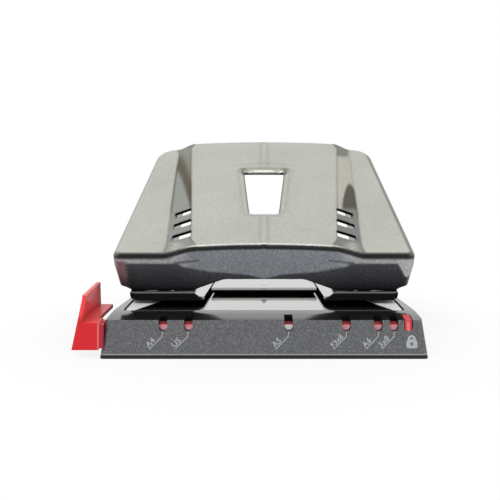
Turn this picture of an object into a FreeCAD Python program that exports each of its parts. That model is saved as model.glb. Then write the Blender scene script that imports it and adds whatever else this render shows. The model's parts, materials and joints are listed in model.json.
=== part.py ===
import FreeCAD, Part
import math
import os

# Two-hole desk punch. Millimetres, +Z up, +X to the right of a user who faces the paper side,
# -Y towards that user. The origin lies on the desk plane, on the plane of symmetry.

V = FreeCAD.Vector

# ---- housing -------------------------------------------------------------------------------
FRONT_Y = -47.5            # foot line of the front face
REAR_Y = 48.0              # foot line of the rear face
WAIST_Y = -9.5             # from here back the sides run parallel
FRONT_MARGIN = 6.8         # from the die plate's edge to the housing's foot, front
REAR_MARGIN = 4.0          # the same at the waist and rear
FRONT_LEAN = 0.31          # how far the front face leans back per millimetre of height
SIDE_LEAN = 0.11
REAR_LEAN = 0.10
CORNER_R = 1.6
HOUSING_WALL = 2.0
DECK_WALL = 2.0            # deck under the die plate
BAND_DEPTH = 10.0          # sloping band between the front edge and the die plate
BAND_DROP = 1.25           # how far that band falls towards the front

# ---- height stack --------------------------------------------------------------------------
TABLE_Z = 14.0             # top of the die plate, which the paper lies on
DIE_PLATE_T = 1.0
PAPER_GAP = 1.6            # height of the paper slot
UPPER_PLATE_T = 1.0
BRACKET_T = 1.2

# ---- die plate and upper plates ------------------------------------------------------------
JAW_MARGIN = 2.2           # from the brackets to the jaws' outer edges
TABLE_MARGIN = 0.8         # how far the die plate goes past the jaws
DIE_REAR_Y = 26.0
DIE_FRONT_GAP = 0.4        # groove in front of the die plate
SIDE_GROOVE = 1.0          # groove beside it
DIE_CORNER_R = 1.6
JAW_FRONT_Y = -20.5        # front edge of the two jaws
THROAT_FRONT_Y = -2.5      # front edge of the plate between them
UPPER_REAR_Y = 24.0
JAW_INNER_FRONT_X = 22.6
JAW_INNER_REAR_X = 20.6
SEAM = 0.6                 # gap between throat plate and jaw plate

# ---- punching ------------------------------------------------------------------------------
HOLE_SPACING = 80.0        # standard spacing of the two holes
PIN_Y = -4.0
PIN_R = 2.75               # punches a 5.5 mm hole
PIN_CLEARANCE = 0.08
PAPER_DEPTH = 12.0         # hole centre to the edge of the sheet
PIN_RETRACT = 0.3          # pin tip above the top of the paper slot
PIN_NOTCH = 1.2            # depth of the V across the cutting end
PIN_HEAD_R = 3.7
PIN_HEAD_T = 2.2
BUSH_R = 4.4
CHIP_HOLE_R = 4.0
SPRING_WIRE_R = 0.3
SPRING_COIL_R = 3.35
SPRING_TURNS = 3.5
FACE_PLAY = 0.3            # gap between parts that move against each other

# ---- lever ---------------------------------------------------------------------------------
LEVER_TILT = 26.5          # degrees, handle at rest
PRESS_ANGLE = 22.0         # degrees of handle travel
AXLE_Y = -19.0
AXLE_Z = 27.9
AXLE_R = 2.0
AXLE_FIT = 0.06
PRESS_PIN_R = 2.5
STUD_R = 1.5
WEB_T = 1.2
HEAD_TO_WEB = 0.4
WEB_TO_EAR = 0.4
EAR_R = 3.5
ARM_SETBACK = 6.0          # the arms end this far short of the cover's rear edge
ARM_REAR_DEPTH = 9.0
CLIP_T = 0.8
CLIP_R = 3.6

# ---- handle cover, measured on its own tilted plane: s from the front edge, n upwards ------
COVER_FRONT_Y = -27.5
COVER_FRONT_Z = 33.3
COVER_LENGTH = 88.0
COVER_T = 1.0
ARM_TO_SIDE_FRONT = 10.8   # from an arm's outer web to the cover's side, front edge
ARM_TO_SIDE_REAR = 3.3     # the same at the rear edge
COVER_CORNER_R = 9.0
COVER_FRONT_CORNER_R = 3.4
RIDGE_RISE = 3.1           # raised centre panel
RIDGE_FRONT_HALF = 26.6
RIDGE_REAR_HALF = 33.8
RAMP_FRONT_HALF = 36.2
RAMP_REAR_HALF = 39.4
SKIRT_DEPTH = 16.1         # front skirt at the sides
SKIRT_MID_DEPTH = 10.9     # front skirt in the middle
SKIRT_MID_HALF = 15.0
SKIRT_STEP_HALF = 27.0
SKIRT_LEAN = 2.4           # how far its ends lean in
SKIRT_CORNER = 2.6
FLANGE_FRONT = 12.0
FLANGE_REAR = 5.0
WINDOW_FRONT_S = 23.7
WINDOW_REAR_S = 56.9
WINDOW_FRONT_HALF = 5.7
WINDOW_REAR_HALF = 8.6
VENT_COUNT = 3
VENT_FIRST_S = 9.8
VENT_PITCH = 8.2
VENT_OUTER_MARGIN = 2.0    # from a vent's outer end to the foot of the ramp
VENT_WIDTH = 3.9
VENT_SLANT = 0.2
TIE_LENGTH = 8.0           # between the rear ends of the two arms
TIE_T = 1.2
TIE_DEPTH = 7.0
RIVET_R = 1.2
RIVET_HEAD_R = 1.8
RIVET_HEAD_T = 0.8

# ---- jaw covers ----------------------------------------------------------------------------
LIP_T = 1.5
LIP_TOP_Z = 18.5
LIP_BOTTOM_GAP = 1.3       # above the paper table
LIP_BEVEL = 4.3
SIDE_WALL_T = 1.4
SIDE_WALL_TOP_Z = 22.0

# ---- paper guide ---------------------------------------------------------------------------
GUIDE_SKIN = 1.6           # wall between the guide and the outside of the housing
GUIDE_FIT = 0.25
GUIDE_BOTTOM_Z = 4.6
GUIDE_REAR_Y = -37.6
GUIDE_RIB_T = 1.6
GUIDE_SHELF_T = 1.4
A4_WIDTH = 297.0
SMALLEST_WIDTH = 137.0     # narrowest sheet with a window of its own
PARK_STEP = 10.0           # the parked guide stops a sheet narrower than that by this much
TONGUE_MARGIN = 6.7        # from the housing's foot to the parked tongue
WINDOW_HALF = 1.5
WINDOW_BOTTOM_Z = 9.1
WINDOW_REAR_Y = -37.9
TONGUE_PLAY = 0.3
GUIDE_ROOF = 0.8           # wall over the guide bar's front edge
GUIDE_TOP_DROP = 4.3       # how far the bar's top falls away towards the rear
STOP_CLEARANCE = 6.0       # from the housing's foot to the inner face of the parked stop
STOP_REAR_CLEARANCE = 6.5  # the same at the stop's rear edge, which stands upright
STOP_T = 1.5
STOP_TOP_FRONT_Z = 21.6
STOP_TOP_REAR_Z = 20.8
STOP_BOTTOM_Z = 3.0
STOP_REAR_Y = -13.5
STOP_LEAN = 0.21
LEDGE_TOP_Z = 12.2
LEDGE_T = 1.4
LEDGE_CLEARANCE = 1.9      # from the housing's foot to the ledge
BLOCK_CLEARANCE = 0.3      # and to the block under it
STOP_REACH = 10.0          # how far the stop's outline is carried past its face
NECK_STEP = 0.6            # the neck between the stop and the housing stands back by this much
STOP_FRONT_LEAN = 0.14

# ---- chip tray -----------------------------------------------------------------------------
TRAY_T = 0.9
TRAY_GAP = 0.3
TRAY_RIM_TOP_Z = 7.0
TRAY_RIM_T = 1.2
TRAY_RIM_PLAY = 0.6
TRAY_BARREL_R = 1.6
TRAY_PIN_R = 0.9
TRAY_PIN_LENGTH = 1.4
TRAY_PIN_FIT = 0.08
TRAY_FOOT_Y = 41.0         # behind this line the housing stands on its own rear wall

# ---- screws --------------------------------------------------------------------------------
SCREW_Y = 20.0
SCREW_R = 1.4
SCREW_HEAD_R = 2.6
SCREW_HEAD_T = 1.5
SCREW_TIP_Z = 6.0
SUNK_HEAD_T = 0.7          # the throat plate's screws lie flush in it
SUNK_HEAD_PLAY = 0.1
BOSS_R = 3.0
HEAD_TO_EAR = 0.2          # jaw screws sit either side of the pin, inside the ears
THROAT_SCREW_X = 12.0

# ---- worked out from the above -------------------------------------------------------------
PIN_X = HOLE_SPACING / 2
DECK_Z = TABLE_Z - DIE_PLATE_T
SLOT_TOP_Z = TABLE_Z + PAPER_GAP
UPPER_Z = SLOT_TOP_Z + UPPER_PLATE_T
FOOT_TOP_Z = UPPER_Z + BRACKET_T
STOP_LINE_Y = PIN_Y + PAPER_DEPTH
BAND_REAR_Y = FRONT_Y + FRONT_LEAN * (TABLE_Z - BAND_DROP) + BAND_DEPTH
DIE_FRONT_Y = BAND_REAR_Y + DIE_FRONT_GAP
WEB_INNER = PIN_HEAD_R + HEAD_TO_WEB
WEB_OUTER = WEB_INNER + WEB_T
EAR_INNER = WEB_OUTER + WEB_TO_EAR
EAR_OUTER = EAR_INNER + BRACKET_T
JAW_HALF_WIDTH = PIN_X + EAR_OUTER + JAW_MARGIN
DIE_HALF_WIDTH = JAW_HALF_WIDTH + TABLE_MARGIN
FRONT_HALF_WIDTH = DIE_HALF_WIDTH + FRONT_MARGIN
REAR_HALF_WIDTH = DIE_HALF_WIDTH + REAR_MARGIN
COVER_FRONT_HALF = PIN_X + WEB_OUTER + ARM_TO_SIDE_FRONT
COVER_REAR_HALF = PIN_X + WEB_OUTER + ARM_TO_SIDE_REAR
TONGUE_X = FRONT_HALF_WIDTH - TONGUE_MARGIN
PARKED_WIDTH = SMALLEST_WIDTH - PARK_STEP
STOP_FACE_X = FRONT_HALF_WIDTH + STOP_CLEARANCE
STOP_REAR_X = FRONT_HALF_WIDTH + STOP_REAR_CLEARANCE
LEDGE_EDGE_X = FRONT_HALF_WIDTH + LEDGE_CLEARANCE
BLOCK_EDGE_X = FRONT_HALF_WIDTH + BLOCK_CLEARANCE
LEVER_ARM = PIN_Y - AXLE_Y
ARM_LENGTH = COVER_LENGTH - ARM_SETBACK
TIE_REAR_S = ARM_LENGTH
TIE_FRONT_S = TIE_REAR_S - TIE_LENGTH
HALF_PRESS = math.radians(PRESS_ANGLE / 2)
PRESS_RISE = LEVER_ARM * math.tan(HALF_PRESS)
PIN_STROKE = 2 * PRESS_RISE
PRESS_Z = AXLE_Z + PRESS_RISE
PIN_TOP_Z = PRESS_Z - PRESS_PIN_R - FACE_PLAY
PIN_TIP_Z = SLOT_TOP_Z + PIN_RETRACT
HEAD_BOTTOM_Z = PIN_TOP_Z - PIN_HEAD_T
RIB_REAR_Y = GUIDE_REAR_Y + GUIDE_FIT + GUIDE_RIB_T
HOUSING_BOTTOM_Z = TRAY_T + TRAY_GAP
TRAY_AXIS_Z = TRAY_BARREL_R
TRAY_AXIS_Y = REAR_Y - REAR_LEAN * TRAY_AXIS_Z - HOUSING_WALL - FACE_PLAY - TRAY_BARREL_R
SCREW_FROM_PIN = EAR_INNER - SCREW_HEAD_R - HEAD_TO_EAR
FORMAT_WIDTHS = (A4_WIDTH, 279.4, 210.0, 170.0, 148.0, SMALLEST_WIDTH, PARKED_WIDTH)


# ---- small helpers -------------------------------------------------------------------------
def box(x0, x1, y0, y1, z0, z1):
    return Part.makeBox(x1 - x0, y1 - y0, z1 - z0, V(x0, y0, z0))


def rod(radius, start, end):
    span = end.sub(start)
    return Part.makeCylinder(radius, span.Length, start, span)


def ring(outer_r, inner_r, start, end):
    return rod(outer_r, start, end).cut(rod(inner_r, start, end))


def prism(points, travel):
    wire = Part.makePolygon(list(points) + [points[0]])
    return Part.Face(wire).extrude(travel)


def prism_x(yz_points, x0, x1):
    return prism([V(x0, y, z) for y, z in yz_points], V(x1 - x0, 0, 0))


def prism_y(xz_points, y0, y1):
    return prism([V(x, y0, z) for x, z in xz_points], V(0, y1 - y0, 0))


def prism_z(xy_points, z0, z1):
    return prism([V(x, y, z0) for x, y in xy_points], V(0, 0, z1 - z0))


def flat_faces(corners):
    """One flat face through four corners, or two triangles where they don't lie in a plane."""
    a, b, c, d = corners
    normal = b.sub(a).cross(c.sub(a))
    if abs(normal.dot(d.sub(a))) < 1e-6 * normal.Length:
        loops = [[a, b, c, d]]
    else:
        loops = [[a, b, c], [a, c, d]]
    return [Part.Face(Part.makePolygon(loop + [loop[0]])) for loop in loops]


def skin_between(first, second):
    """The solid whose two ends are given, corner by corner."""
    ends = (first[::-1], second)
    faces = [Part.Face(Part.makePolygon(end + [end[0]])) for end in ends]
    for i in range(len(first)):
        j = (i + 1) % len(first)
        faces += flat_faces([first[i], first[j], second[j], second[i]])
    shell = Part.Shell(faces)
    shell.sewShape()
    solid = Part.Solid(shell)
    if solid.Volume < 0:
        solid.reverse()
    return solid


def join(shapes):
    return shapes[0].multiFuse(shapes[1:]).removeSplitter()


def mirror_x(shape):
    return shape.mirror(V(0, 0, 0), V(1, 0, 0))


def on_side(shape, side):
    """A shape drawn for the right-hand side, moved to the side asked for."""
    return shape if side > 0 else mirror_x(shape)


def on_lever(shape):
    """Moves a shape drawn in the cover's own plane (x, s, n) to where the cover rests."""
    placed = shape.copy()
    placed.rotate(V(0, 0, 0), V(1, 0, 0), LEVER_TILT)
    placed.translate(V(0, COVER_FRONT_Y, COVER_FRONT_Z))
    return placed


def in_lever_plane(y, z):
    """The (s, n) of a point given by its y and z at rest."""
    tilt = math.radians(LEVER_TILT)
    dy = y - COVER_FRONT_Y
    dz = z - COVER_FRONT_Z
    return (dy * math.cos(tilt) + dz * math.sin(tilt), dz * math.cos(tilt) - dy * math.sin(tilt))


# ---- housing -------------------------------------------------------------------------------
def front_face_y(z):
    return FRONT_Y + FRONT_LEAN * z


def half_width(y, z):
    """Half the housing's width at a place on its side."""
    ahead = max((WAIST_Y - y) / (WAIST_Y - FRONT_Y), 0.0)
    return REAR_HALF_WIDTH + (FRONT_HALF_WIDTH - REAR_HALF_WIDTH) * ahead - SIDE_LEAN * z


def housing_block(z0, z1, inset, round_corners=False):
    """The housing's outer form between two heights, drawn in by the inset."""
    ends = []
    for z in (z0, z1):
        y_front = front_face_y(z) + inset
        y_rear = REAR_Y - REAR_LEAN * z - inset
        right = [(half_width(y, z) - inset, y) for y in (y_front, WAIST_Y, y_rear)]
        left = [(-x, y) for x, y in reversed(right)]
        ends.append([V(x, y, z) for x, y in right + left])
    block = skin_between(ends[0], ends[1])
    if round_corners:
        block = block.makeFillet(CORNER_R, corner_edges(block, z0, z1))
    return block


def corner_edges(block, z0, z1):
    """The upright edges at the four outer corners."""
    edges = []
    for edge in block.Edges:
        low, high = sorted(v.Point.z for v in edge.Vertexes)
        upright = abs(low - z0) < 0.01 and abs(high - z1) < 0.01
        at_corner = all(abs(v.Point.y - WAIST_Y) > 1 for v in edge.Vertexes)
        if upright and at_corner:
            edges.append(edge)
    return edges


def band_z(y):
    """Height of the sloping band in front of the die plate."""
    return TABLE_Z - BAND_DROP * (BAND_REAR_Y - y) / BAND_DEPTH


def guide_section(fit):
    """Section of the guide bar, in y and z, grown by the fit."""
    skin = GUIDE_SKIN + GUIDE_FIT - fit
    roof = GUIDE_ROOF + GUIDE_FIT - fit
    bottom = GUIDE_BOTTOM_Z - fit
    rear = GUIDE_REAR_Y + fit
    top_front_y = front_face_y(TABLE_Z - BAND_DROP) + skin
    return [
        (front_face_y(bottom) + skin, bottom),
        (top_front_y, band_z(top_front_y) - roof),
        (rear, band_z(rear) - roof - GUIDE_TOP_DROP),
        (rear, bottom),
    ]


def window_x(sheet_width):
    """Where the tongue stands when the guide is set for a sheet of this width."""
    return TONGUE_X - (sheet_width - PARKED_WIDTH) / 2


def window_cut(x, half):
    """A format window: round at the foot, open over the front edge."""
    y0 = FRONT_Y - 1
    slot = box(x - half, x + half, y0, WINDOW_REAR_Y, WINDOW_BOTTOM_Z + half, TABLE_Z + 1)
    foot = rod(half, V(x, y0, WINDOW_BOTTOM_Z + half), V(x, GUIDE_REAR_Y, WINDOW_BOTTOM_Z + half))
    return slot.fuse(foot)


def screw_places():
    distances = (THROAT_SCREW_X, PIN_X - SCREW_FROM_PIN, PIN_X + SCREW_FROM_PIN)
    return [(side * x, SCREW_Y) for side in (-1, 1) for x in distances]


def base_shell():
    outer = housing_block(0, TABLE_Z, 0, True)
    band_front = FRONT_Y - 2
    outer = outer.cut(prism_x([
        (band_front, band_z(band_front)),
        (BAND_REAR_Y, TABLE_Z),
        (BAND_REAR_Y, TABLE_Z + 2),
        (band_front, TABLE_Z + 2),
    ], -FRONT_HALF_WIDTH - 1, FRONT_HALF_WIDTH + 1))
    inside = housing_block(-1, DECK_Z - DECK_WALL, HOUSING_WALL)
    inside = inside.common(box(-FRONT_HALF_WIDTH, FRONT_HALF_WIDTH, RIB_REAR_Y, REAR_Y, -2, TABLE_Z))
    under_guide = housing_block(-1, GUIDE_BOTTOM_Z - GUIDE_FIT - GUIDE_SHELF_T, HOUSING_WALL)
    shell = outer.cut([
        inside,
        under_guide,
        box(-FRONT_HALF_WIDTH - 1, FRONT_HALF_WIDTH + 1, FRONT_Y - 1, TRAY_FOOT_Y, -1, HOUSING_BOTTOM_Z),
        die_pocket(),
        prism_x(guide_section(GUIDE_FIT), -FRONT_HALF_WIDTH - 1, guide_end_x() + GUIDE_FIT),
    ])
    bosses = []
    for x, y in screw_places():
        bosses.append(rod(BOSS_R, V(x, y, SCREW_TIP_Z), V(x, y, DECK_Z - DECK_WALL)))
    shell = shell.fuse(bosses)
    cuts = [window_cut(window_x(width), WINDOW_HALF) for width in FORMAT_WIDTHS]
    for x, y in screw_places():
        cuts.append(rod(SCREW_R, V(x, y, SCREW_TIP_Z), V(x, y, TABLE_Z)))
    for side in (-1, 1):
        cuts.append(rod(CHIP_HOLE_R, V(side * PIN_X, PIN_Y, 0), V(side * PIN_X, PIN_Y, TABLE_Z)))
    cuts.append(tray_axis_rod(TRAY_PIN_R + TRAY_PIN_FIT, tray_half_width() + TRAY_PIN_LENGTH + FACE_PLAY))
    return shell.cut(cuts)


def die_pocket():
    half = DIE_HALF_WIDTH + SIDE_GROOVE
    pocket = box(-half, half, BAND_REAR_Y, DIE_REAR_Y + DIE_FRONT_GAP, DECK_Z, TABLE_Z + 1)
    return round_uprights(pocket, DIE_CORNER_R, BAND_REAR_Y)


def round_uprights(block, radius, y):
    """Rounds the upright edges that stand on the line y."""
    edges = [e for e in block.Edges
             if all(abs(v.Point.y - y) < 0.01 for v in e.Vertexes)
             and abs(e.Vertexes[0].Point.z - e.Vertexes[1].Point.z) > 0.1]
    return block.makeFillet(radius, edges)


# ---- chip tray -----------------------------------------------------------------------------
def tray_half_width():
    return half_width(TRAY_AXIS_Y, TRAY_AXIS_Z) - HOUSING_WALL - FACE_PLAY


def tray_axis_rod(radius, reach):
    return rod(radius, V(-reach, TRAY_AXIS_Y, TRAY_AXIS_Z), V(reach, TRAY_AXIS_Y, TRAY_AXIS_Z))


def tray_rim(inset, wall):
    y0 = RIB_REAR_Y + TRAY_RIM_PLAY + wall
    y1 = TRAY_AXIS_Y - TRAY_BARREL_R - wall
    block = housing_block(TRAY_T / 2, TRAY_RIM_TOP_Z, inset + wall)
    return block.common(box(-FRONT_HALF_WIDTH, FRONT_HALF_WIDTH, y0, y1, 0, TRAY_RIM_TOP_Z))


def chip_tray():
    floor = housing_block(0, TRAY_T, 0, True)
    swing = math.hypot(TRAY_AXIS_Y - TRAY_FOOT_Y + TRAY_GAP, TRAY_AXIS_Z)
    floor_rear = TRAY_AXIS_Y - swing
    floor = floor.common(box(-FRONT_HALF_WIDTH, FRONT_HALF_WIDTH, FRONT_Y, floor_rear, 0, TRAY_T))
    half = tray_half_width()
    tail = box(-half, half, floor_rear - 1, TRAY_AXIS_Y, 0, TRAY_T)
    inset = HOUSING_WALL + TRAY_RIM_PLAY
    rim = tray_rim(inset, 0).cut(tray_rim(inset, TRAY_RIM_T))
    barrel = tray_axis_rod(TRAY_BARREL_R, half)
    pins = tray_axis_rod(TRAY_PIN_R, half + TRAY_PIN_LENGTH)
    return join([floor, tail, rim, barrel, pins])


# ---- plates --------------------------------------------------------------------------------
def screw_holes(places, z0, z1):
    return [rod(SCREW_R, V(x, y, z0), V(x, y, z1)) for x, y in places]


def pin_holes(radius, z0, z1):
    return [rod(radius, V(side * PIN_X, PIN_Y, z0), V(side * PIN_X, PIN_Y, z1)) for side in (-1, 1)]


def die_plate():
    plate = box(-DIE_HALF_WIDTH, DIE_HALF_WIDTH, DIE_FRONT_Y, DIE_REAR_Y, DECK_Z, TABLE_Z)
    plate = round_uprights(plate, DIE_CORNER_R, DIE_FRONT_Y)
    holes = pin_holes(PIN_R + PIN_CLEARANCE, DECK_Z - 1, TABLE_Z + 1)
    return plate.cut(holes + screw_holes(screw_places(), DECK_Z - 1, TABLE_Z + 1))


def paper_stop():
    bar = box(-JAW_HALF_WIDTH, JAW_HALF_WIDTH, STOP_LINE_Y, UPPER_REAR_Y, TABLE_Z, SLOT_TOP_Z)
    return bar.cut(screw_holes(screw_places(), TABLE_Z - 1, SLOT_TOP_Z + 1))


def throat_plate():
    front = inner_edge_x(THROAT_FRONT_Y) - SEAM
    rear = inner_edge_x(UPPER_REAR_Y) - SEAM
    plate = prism_z([
        (-front, THROAT_FRONT_Y), (front, THROAT_FRONT_Y), (rear, UPPER_REAR_Y), (-rear, UPPER_REAR_Y),
    ], SLOT_TOP_Z, UPPER_Z)
    holes = screw_holes(screw_places(), SLOT_TOP_Z - 1, UPPER_Z + 1)
    for x in (-THROAT_SCREW_X, THROAT_SCREW_X):
        foot = V(x, SCREW_Y, UPPER_Z - SUNK_HEAD_T)
        holes.append(rod(SCREW_HEAD_R + SUNK_HEAD_PLAY, foot, V(x, SCREW_Y, UPPER_Z + 1)))
    return plate.cut(holes)


def inner_edge_x(y):
    """The jaw plate's inner edge runs in towards the rear."""
    share = (y - JAW_FRONT_Y) / (UPPER_REAR_Y - JAW_FRONT_Y)
    return JAW_INNER_FRONT_X + (JAW_INNER_REAR_X - JAW_INNER_FRONT_X) * share


def jaw_plate(side):
    plate = prism_z([
        (JAW_INNER_FRONT_X, JAW_FRONT_Y), (JAW_HALF_WIDTH, JAW_FRONT_Y),
        (JAW_HALF_WIDTH, UPPER_REAR_Y), (JAW_INNER_REAR_X, UPPER_REAR_Y),
    ], SLOT_TOP_Z, UPPER_Z)
    holes = pin_holes(PIN_R + PIN_CLEARANCE, SLOT_TOP_Z - 1, UPPER_Z + 1)
    holes += screw_holes(screw_places(), SLOT_TOP_Z - 1, UPPER_Z + 1)
    return on_side(plate.cut(holes), side)


def jaw_cover(side):
    bottom = TABLE_Z + LIP_BOTTOM_GAP
    outer = JAW_HALF_WIDTH + SIDE_WALL_T
    lip = prism_y([
        (JAW_INNER_FRONT_X, bottom), (JAW_HALF_WIDTH, bottom), (JAW_HALF_WIDTH, LIP_TOP_Z),
        (JAW_INNER_FRONT_X + LIP_BEVEL, LIP_TOP_Z),
    ], JAW_FRONT_Y - LIP_T, JAW_FRONT_Y)
    rise = SIDE_WALL_TOP_Z - LIP_TOP_Z
    wall = prism_x([
        (JAW_FRONT_Y + LIP_T, bottom), (UPPER_REAR_Y, bottom), (UPPER_REAR_Y, SIDE_WALL_TOP_Z),
        (JAW_FRONT_Y + LIP_T + rise, SIDE_WALL_TOP_Z), (JAW_FRONT_Y + LIP_T, LIP_TOP_Z),
        (JAW_FRONT_Y - LIP_T / 2, LIP_TOP_Z), (JAW_FRONT_Y - LIP_T / 2, SLOT_TOP_Z + LIP_T),
    ], JAW_HALF_WIDTH, outer)
    return on_side(join([lip, wall]), side)


def punch_bracket(side):
    foot_front = AXLE_Y + EAR_R
    foot = box(PIN_X - EAR_OUTER, PIN_X + EAR_OUTER, foot_front, UPPER_REAR_Y, UPPER_Z, FOOT_TOP_Z)
    ears = []
    for x in (PIN_X - EAR_OUTER, PIN_X + EAR_INNER):
        profile = [
            (foot_front, UPPER_Z), (UPPER_REAR_Y - EAR_R, UPPER_Z), (PIN_Y + EAR_R, FOOT_TOP_Z + EAR_R),
            (AXLE_Y + EAR_R * 0.5, AXLE_Z + EAR_R * 0.87), (AXLE_Y - EAR_R * 0.87, AXLE_Z - EAR_R * 0.5),
        ]
        eye = rod(EAR_R, V(x, AXLE_Y, AXLE_Z), V(x + BRACKET_T, AXLE_Y, AXLE_Z))
        ears.append(prism_x(profile, x, x + BRACKET_T).fuse(eye))
    bracket = join([foot] + ears)
    bores = [
        rod(AXLE_R, V(PIN_X - EAR_OUTER - 1, AXLE_Y, AXLE_Z), V(PIN_X + EAR_OUTER + 1, AXLE_Y, AXLE_Z)),
        rod(BUSH_R, V(PIN_X, PIN_Y, UPPER_Z), V(PIN_X, PIN_Y, FOOT_TOP_Z)),
    ]
    bores += screw_holes(screw_places(), UPPER_Z - 1, FOOT_TOP_Z + 1)
    return on_side(bracket.cut(bores), side)


def pin_bush(side):
    x = side * PIN_X
    return ring(BUSH_R, PIN_R + PIN_CLEARANCE, V(x, PIN_Y, UPPER_Z), V(x, PIN_Y, FOOT_TOP_Z))


def plate_screws():
    screws = []
    for x, y in screw_places():
        sunk = abs(x) < PIN_X - EAR_OUTER
        seat = UPPER_Z - SUNK_HEAD_T if sunk else FOOT_TOP_Z
        thick = SUNK_HEAD_T if sunk else SCREW_HEAD_T
        shank = rod(SCREW_R, V(x, y, SCREW_TIP_Z), V(x, y, seat))
        head = rod(SCREW_HEAD_R, V(x, y, seat), V(x, y, seat + thick))
        if not sunk:
            rim = [edge for edge in head.Edges if edge.BoundBox.ZMin > seat + thick - 0.01]
            head = head.makeFillet(thick / 2, rim)
        screws.append(join([shank, head]))
    return Part.makeCompound(screws)


# ---- pins ----------------------------------------------------------------------------------
def punch_pin(side):
    x = side * PIN_X
    shank = rod(PIN_R, V(x, PIN_Y, PIN_TIP_Z), V(x, PIN_Y, HEAD_BOTTOM_Z))
    notch = prism_y([
        (x - PIN_R, PIN_TIP_Z), (x + PIN_R, PIN_TIP_Z), (x, PIN_TIP_Z + PIN_NOTCH),
    ], PIN_Y - PIN_R - 1, PIN_Y + PIN_R + 1)
    head = rod(PIN_HEAD_R, V(x, PIN_Y, HEAD_BOTTOM_Z), V(x, PIN_Y, PIN_TOP_Z))
    return join([shank, head]).cut(notch)


def pin_spring(side):
    x = side * PIN_X
    low = FOOT_TOP_Z + SPRING_WIRE_R
    height = HEAD_BOTTOM_Z - SPRING_WIRE_R - low
    path = Part.makeHelix(height / SPRING_TURNS, height, SPRING_COIL_R)
    section = Part.Wire(Part.makeCircle(SPRING_WIRE_R, V(SPRING_COIL_R, 0, 0), V(0, 1, 0)))
    sweep = Part.BRepOffsetAPI.MakePipeShell(Part.Wire(path))
    sweep.setFrenetMode(True)
    sweep.add(section)
    sweep.build()
    sweep.makeSolid()
    coil = sweep.shape()
    coil.translate(V(x, PIN_Y, low))
    return coil


# ---- axle ----------------------------------------------------------------------------------
def hinge_axle():
    reach = PIN_X + EAR_OUTER + CLIP_T * 2
    return rod(AXLE_R, V(-reach, AXLE_Y, AXLE_Z), V(reach, AXLE_Y, AXLE_Z))


def axle_clips():
    clips = []
    for side in (-1, 1):
        x0 = side * (PIN_X + EAR_OUTER)
        x1 = side * (PIN_X + EAR_OUTER + CLIP_T)
        clips.append(ring(CLIP_R, AXLE_R, V(x0, AXLE_Y, AXLE_Z), V(x1, AXLE_Y, AXLE_Z)))
    return Part.makeCompound(clips)


# ---- handle --------------------------------------------------------------------------------
def between(front, rear, s):
    return front + (rear - front) * s / COVER_LENGTH


def cover_section(s, drop, inset, flange):
    """Section across the cover at s: the sheet's upper face lowered by drop, its sides drawn in."""
    half = between(COVER_FRONT_HALF, COVER_REAR_HALF, s) - inset
    ramp = between(RAMP_FRONT_HALF, RAMP_REAR_HALF, s)
    ridge = between(RIDGE_FRONT_HALF, RIDGE_REAR_HALF, s)
    right = [(half, -flange), (half, -drop), (ramp, -drop), (ridge, RIDGE_RISE - drop)]
    left = [(-x, n) for x, n in reversed(right)]
    return [V(x, s, n) for x, n in right + left]


def cover_plan(inset):
    """The cover seen square on, with round corners, as a tall block."""
    s1 = COVER_LENGTH - inset
    front = between(COVER_FRONT_HALF, COVER_REAR_HALF, 0) - inset
    rear = between(COVER_FRONT_HALF, COVER_REAR_HALF, s1) - inset
    top = RIDGE_RISE + 1
    block = prism_z([(-front, inset), (front, inset), (rear, s1), (-rear, s1)], -SKIRT_DEPTH - 1, top)
    block = round_uprights(block, COVER_CORNER_R - inset, s1)
    return round_uprights(block, COVER_FRONT_CORNER_R - inset, inset)


def front_skirt():
    lean = COVER_FRONT_HALF - SKIRT_LEAN
    right = [
        (RIDGE_FRONT_HALF, RIDGE_RISE), (RAMP_FRONT_HALF, 0), (COVER_FRONT_HALF, 0),
        (lean, SKIRT_CORNER - SKIRT_DEPTH), (lean - SKIRT_CORNER * 1.5, -SKIRT_DEPTH),
        (SKIRT_STEP_HALF, -SKIRT_DEPTH), (SKIRT_MID_HALF, -SKIRT_MID_DEPTH),
    ]
    left = [(-x, n) for x, n in reversed(right)]
    return prism_y(right + left, 0, COVER_T)


def cover_window():
    return prism_z([
        (-WINDOW_FRONT_HALF, WINDOW_FRONT_S), (WINDOW_FRONT_HALF, WINDOW_FRONT_S),
        (WINDOW_REAR_HALF, WINDOW_REAR_S), (-WINDOW_REAR_HALF, WINDOW_REAR_S),
    ], -SKIRT_DEPTH, RIDGE_RISE + 1)


def cover_vents():
    vents = []
    for step in range(VENT_COUNT):
        s = VENT_FIRST_S + VENT_PITCH * step
        half = VENT_WIDTH / 2
        inner = between(RIDGE_FRONT_HALF, RIDGE_REAR_HALF, s)
        outer = between(RAMP_FRONT_HALF, RAMP_REAR_HALF, s) - VENT_OUTER_MARGIN
        vent = prism_z([
            (inner, s + VENT_SLANT / 2 - half), (outer, s - VENT_SLANT / 2 - half),
            (outer, s - VENT_SLANT / 2 + half), (inner, s + VENT_SLANT / 2 + half),
        ], -COVER_T - 1, RIDGE_RISE + 1)
        vents += [vent, mirror_x(vent)]
    return vents


def handle_cover():
    outer = skin_between(
        cover_section(0, 0, 0, FLANGE_FRONT),
        cover_section(COVER_LENGTH, 0, 0, FLANGE_REAR),
    ).common(cover_plan(0))
    hollow = skin_between(
        cover_section(0, COVER_T, COVER_T, SKIRT_DEPTH),
        cover_section(COVER_LENGTH, COVER_T, COVER_T, SKIRT_DEPTH),
    ).common(cover_plan(COVER_T))
    pan = join([outer.cut(hollow), front_skirt().common(cover_plan(0))])
    return on_lever(pan.cut([cover_window()] + cover_vents()))


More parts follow.
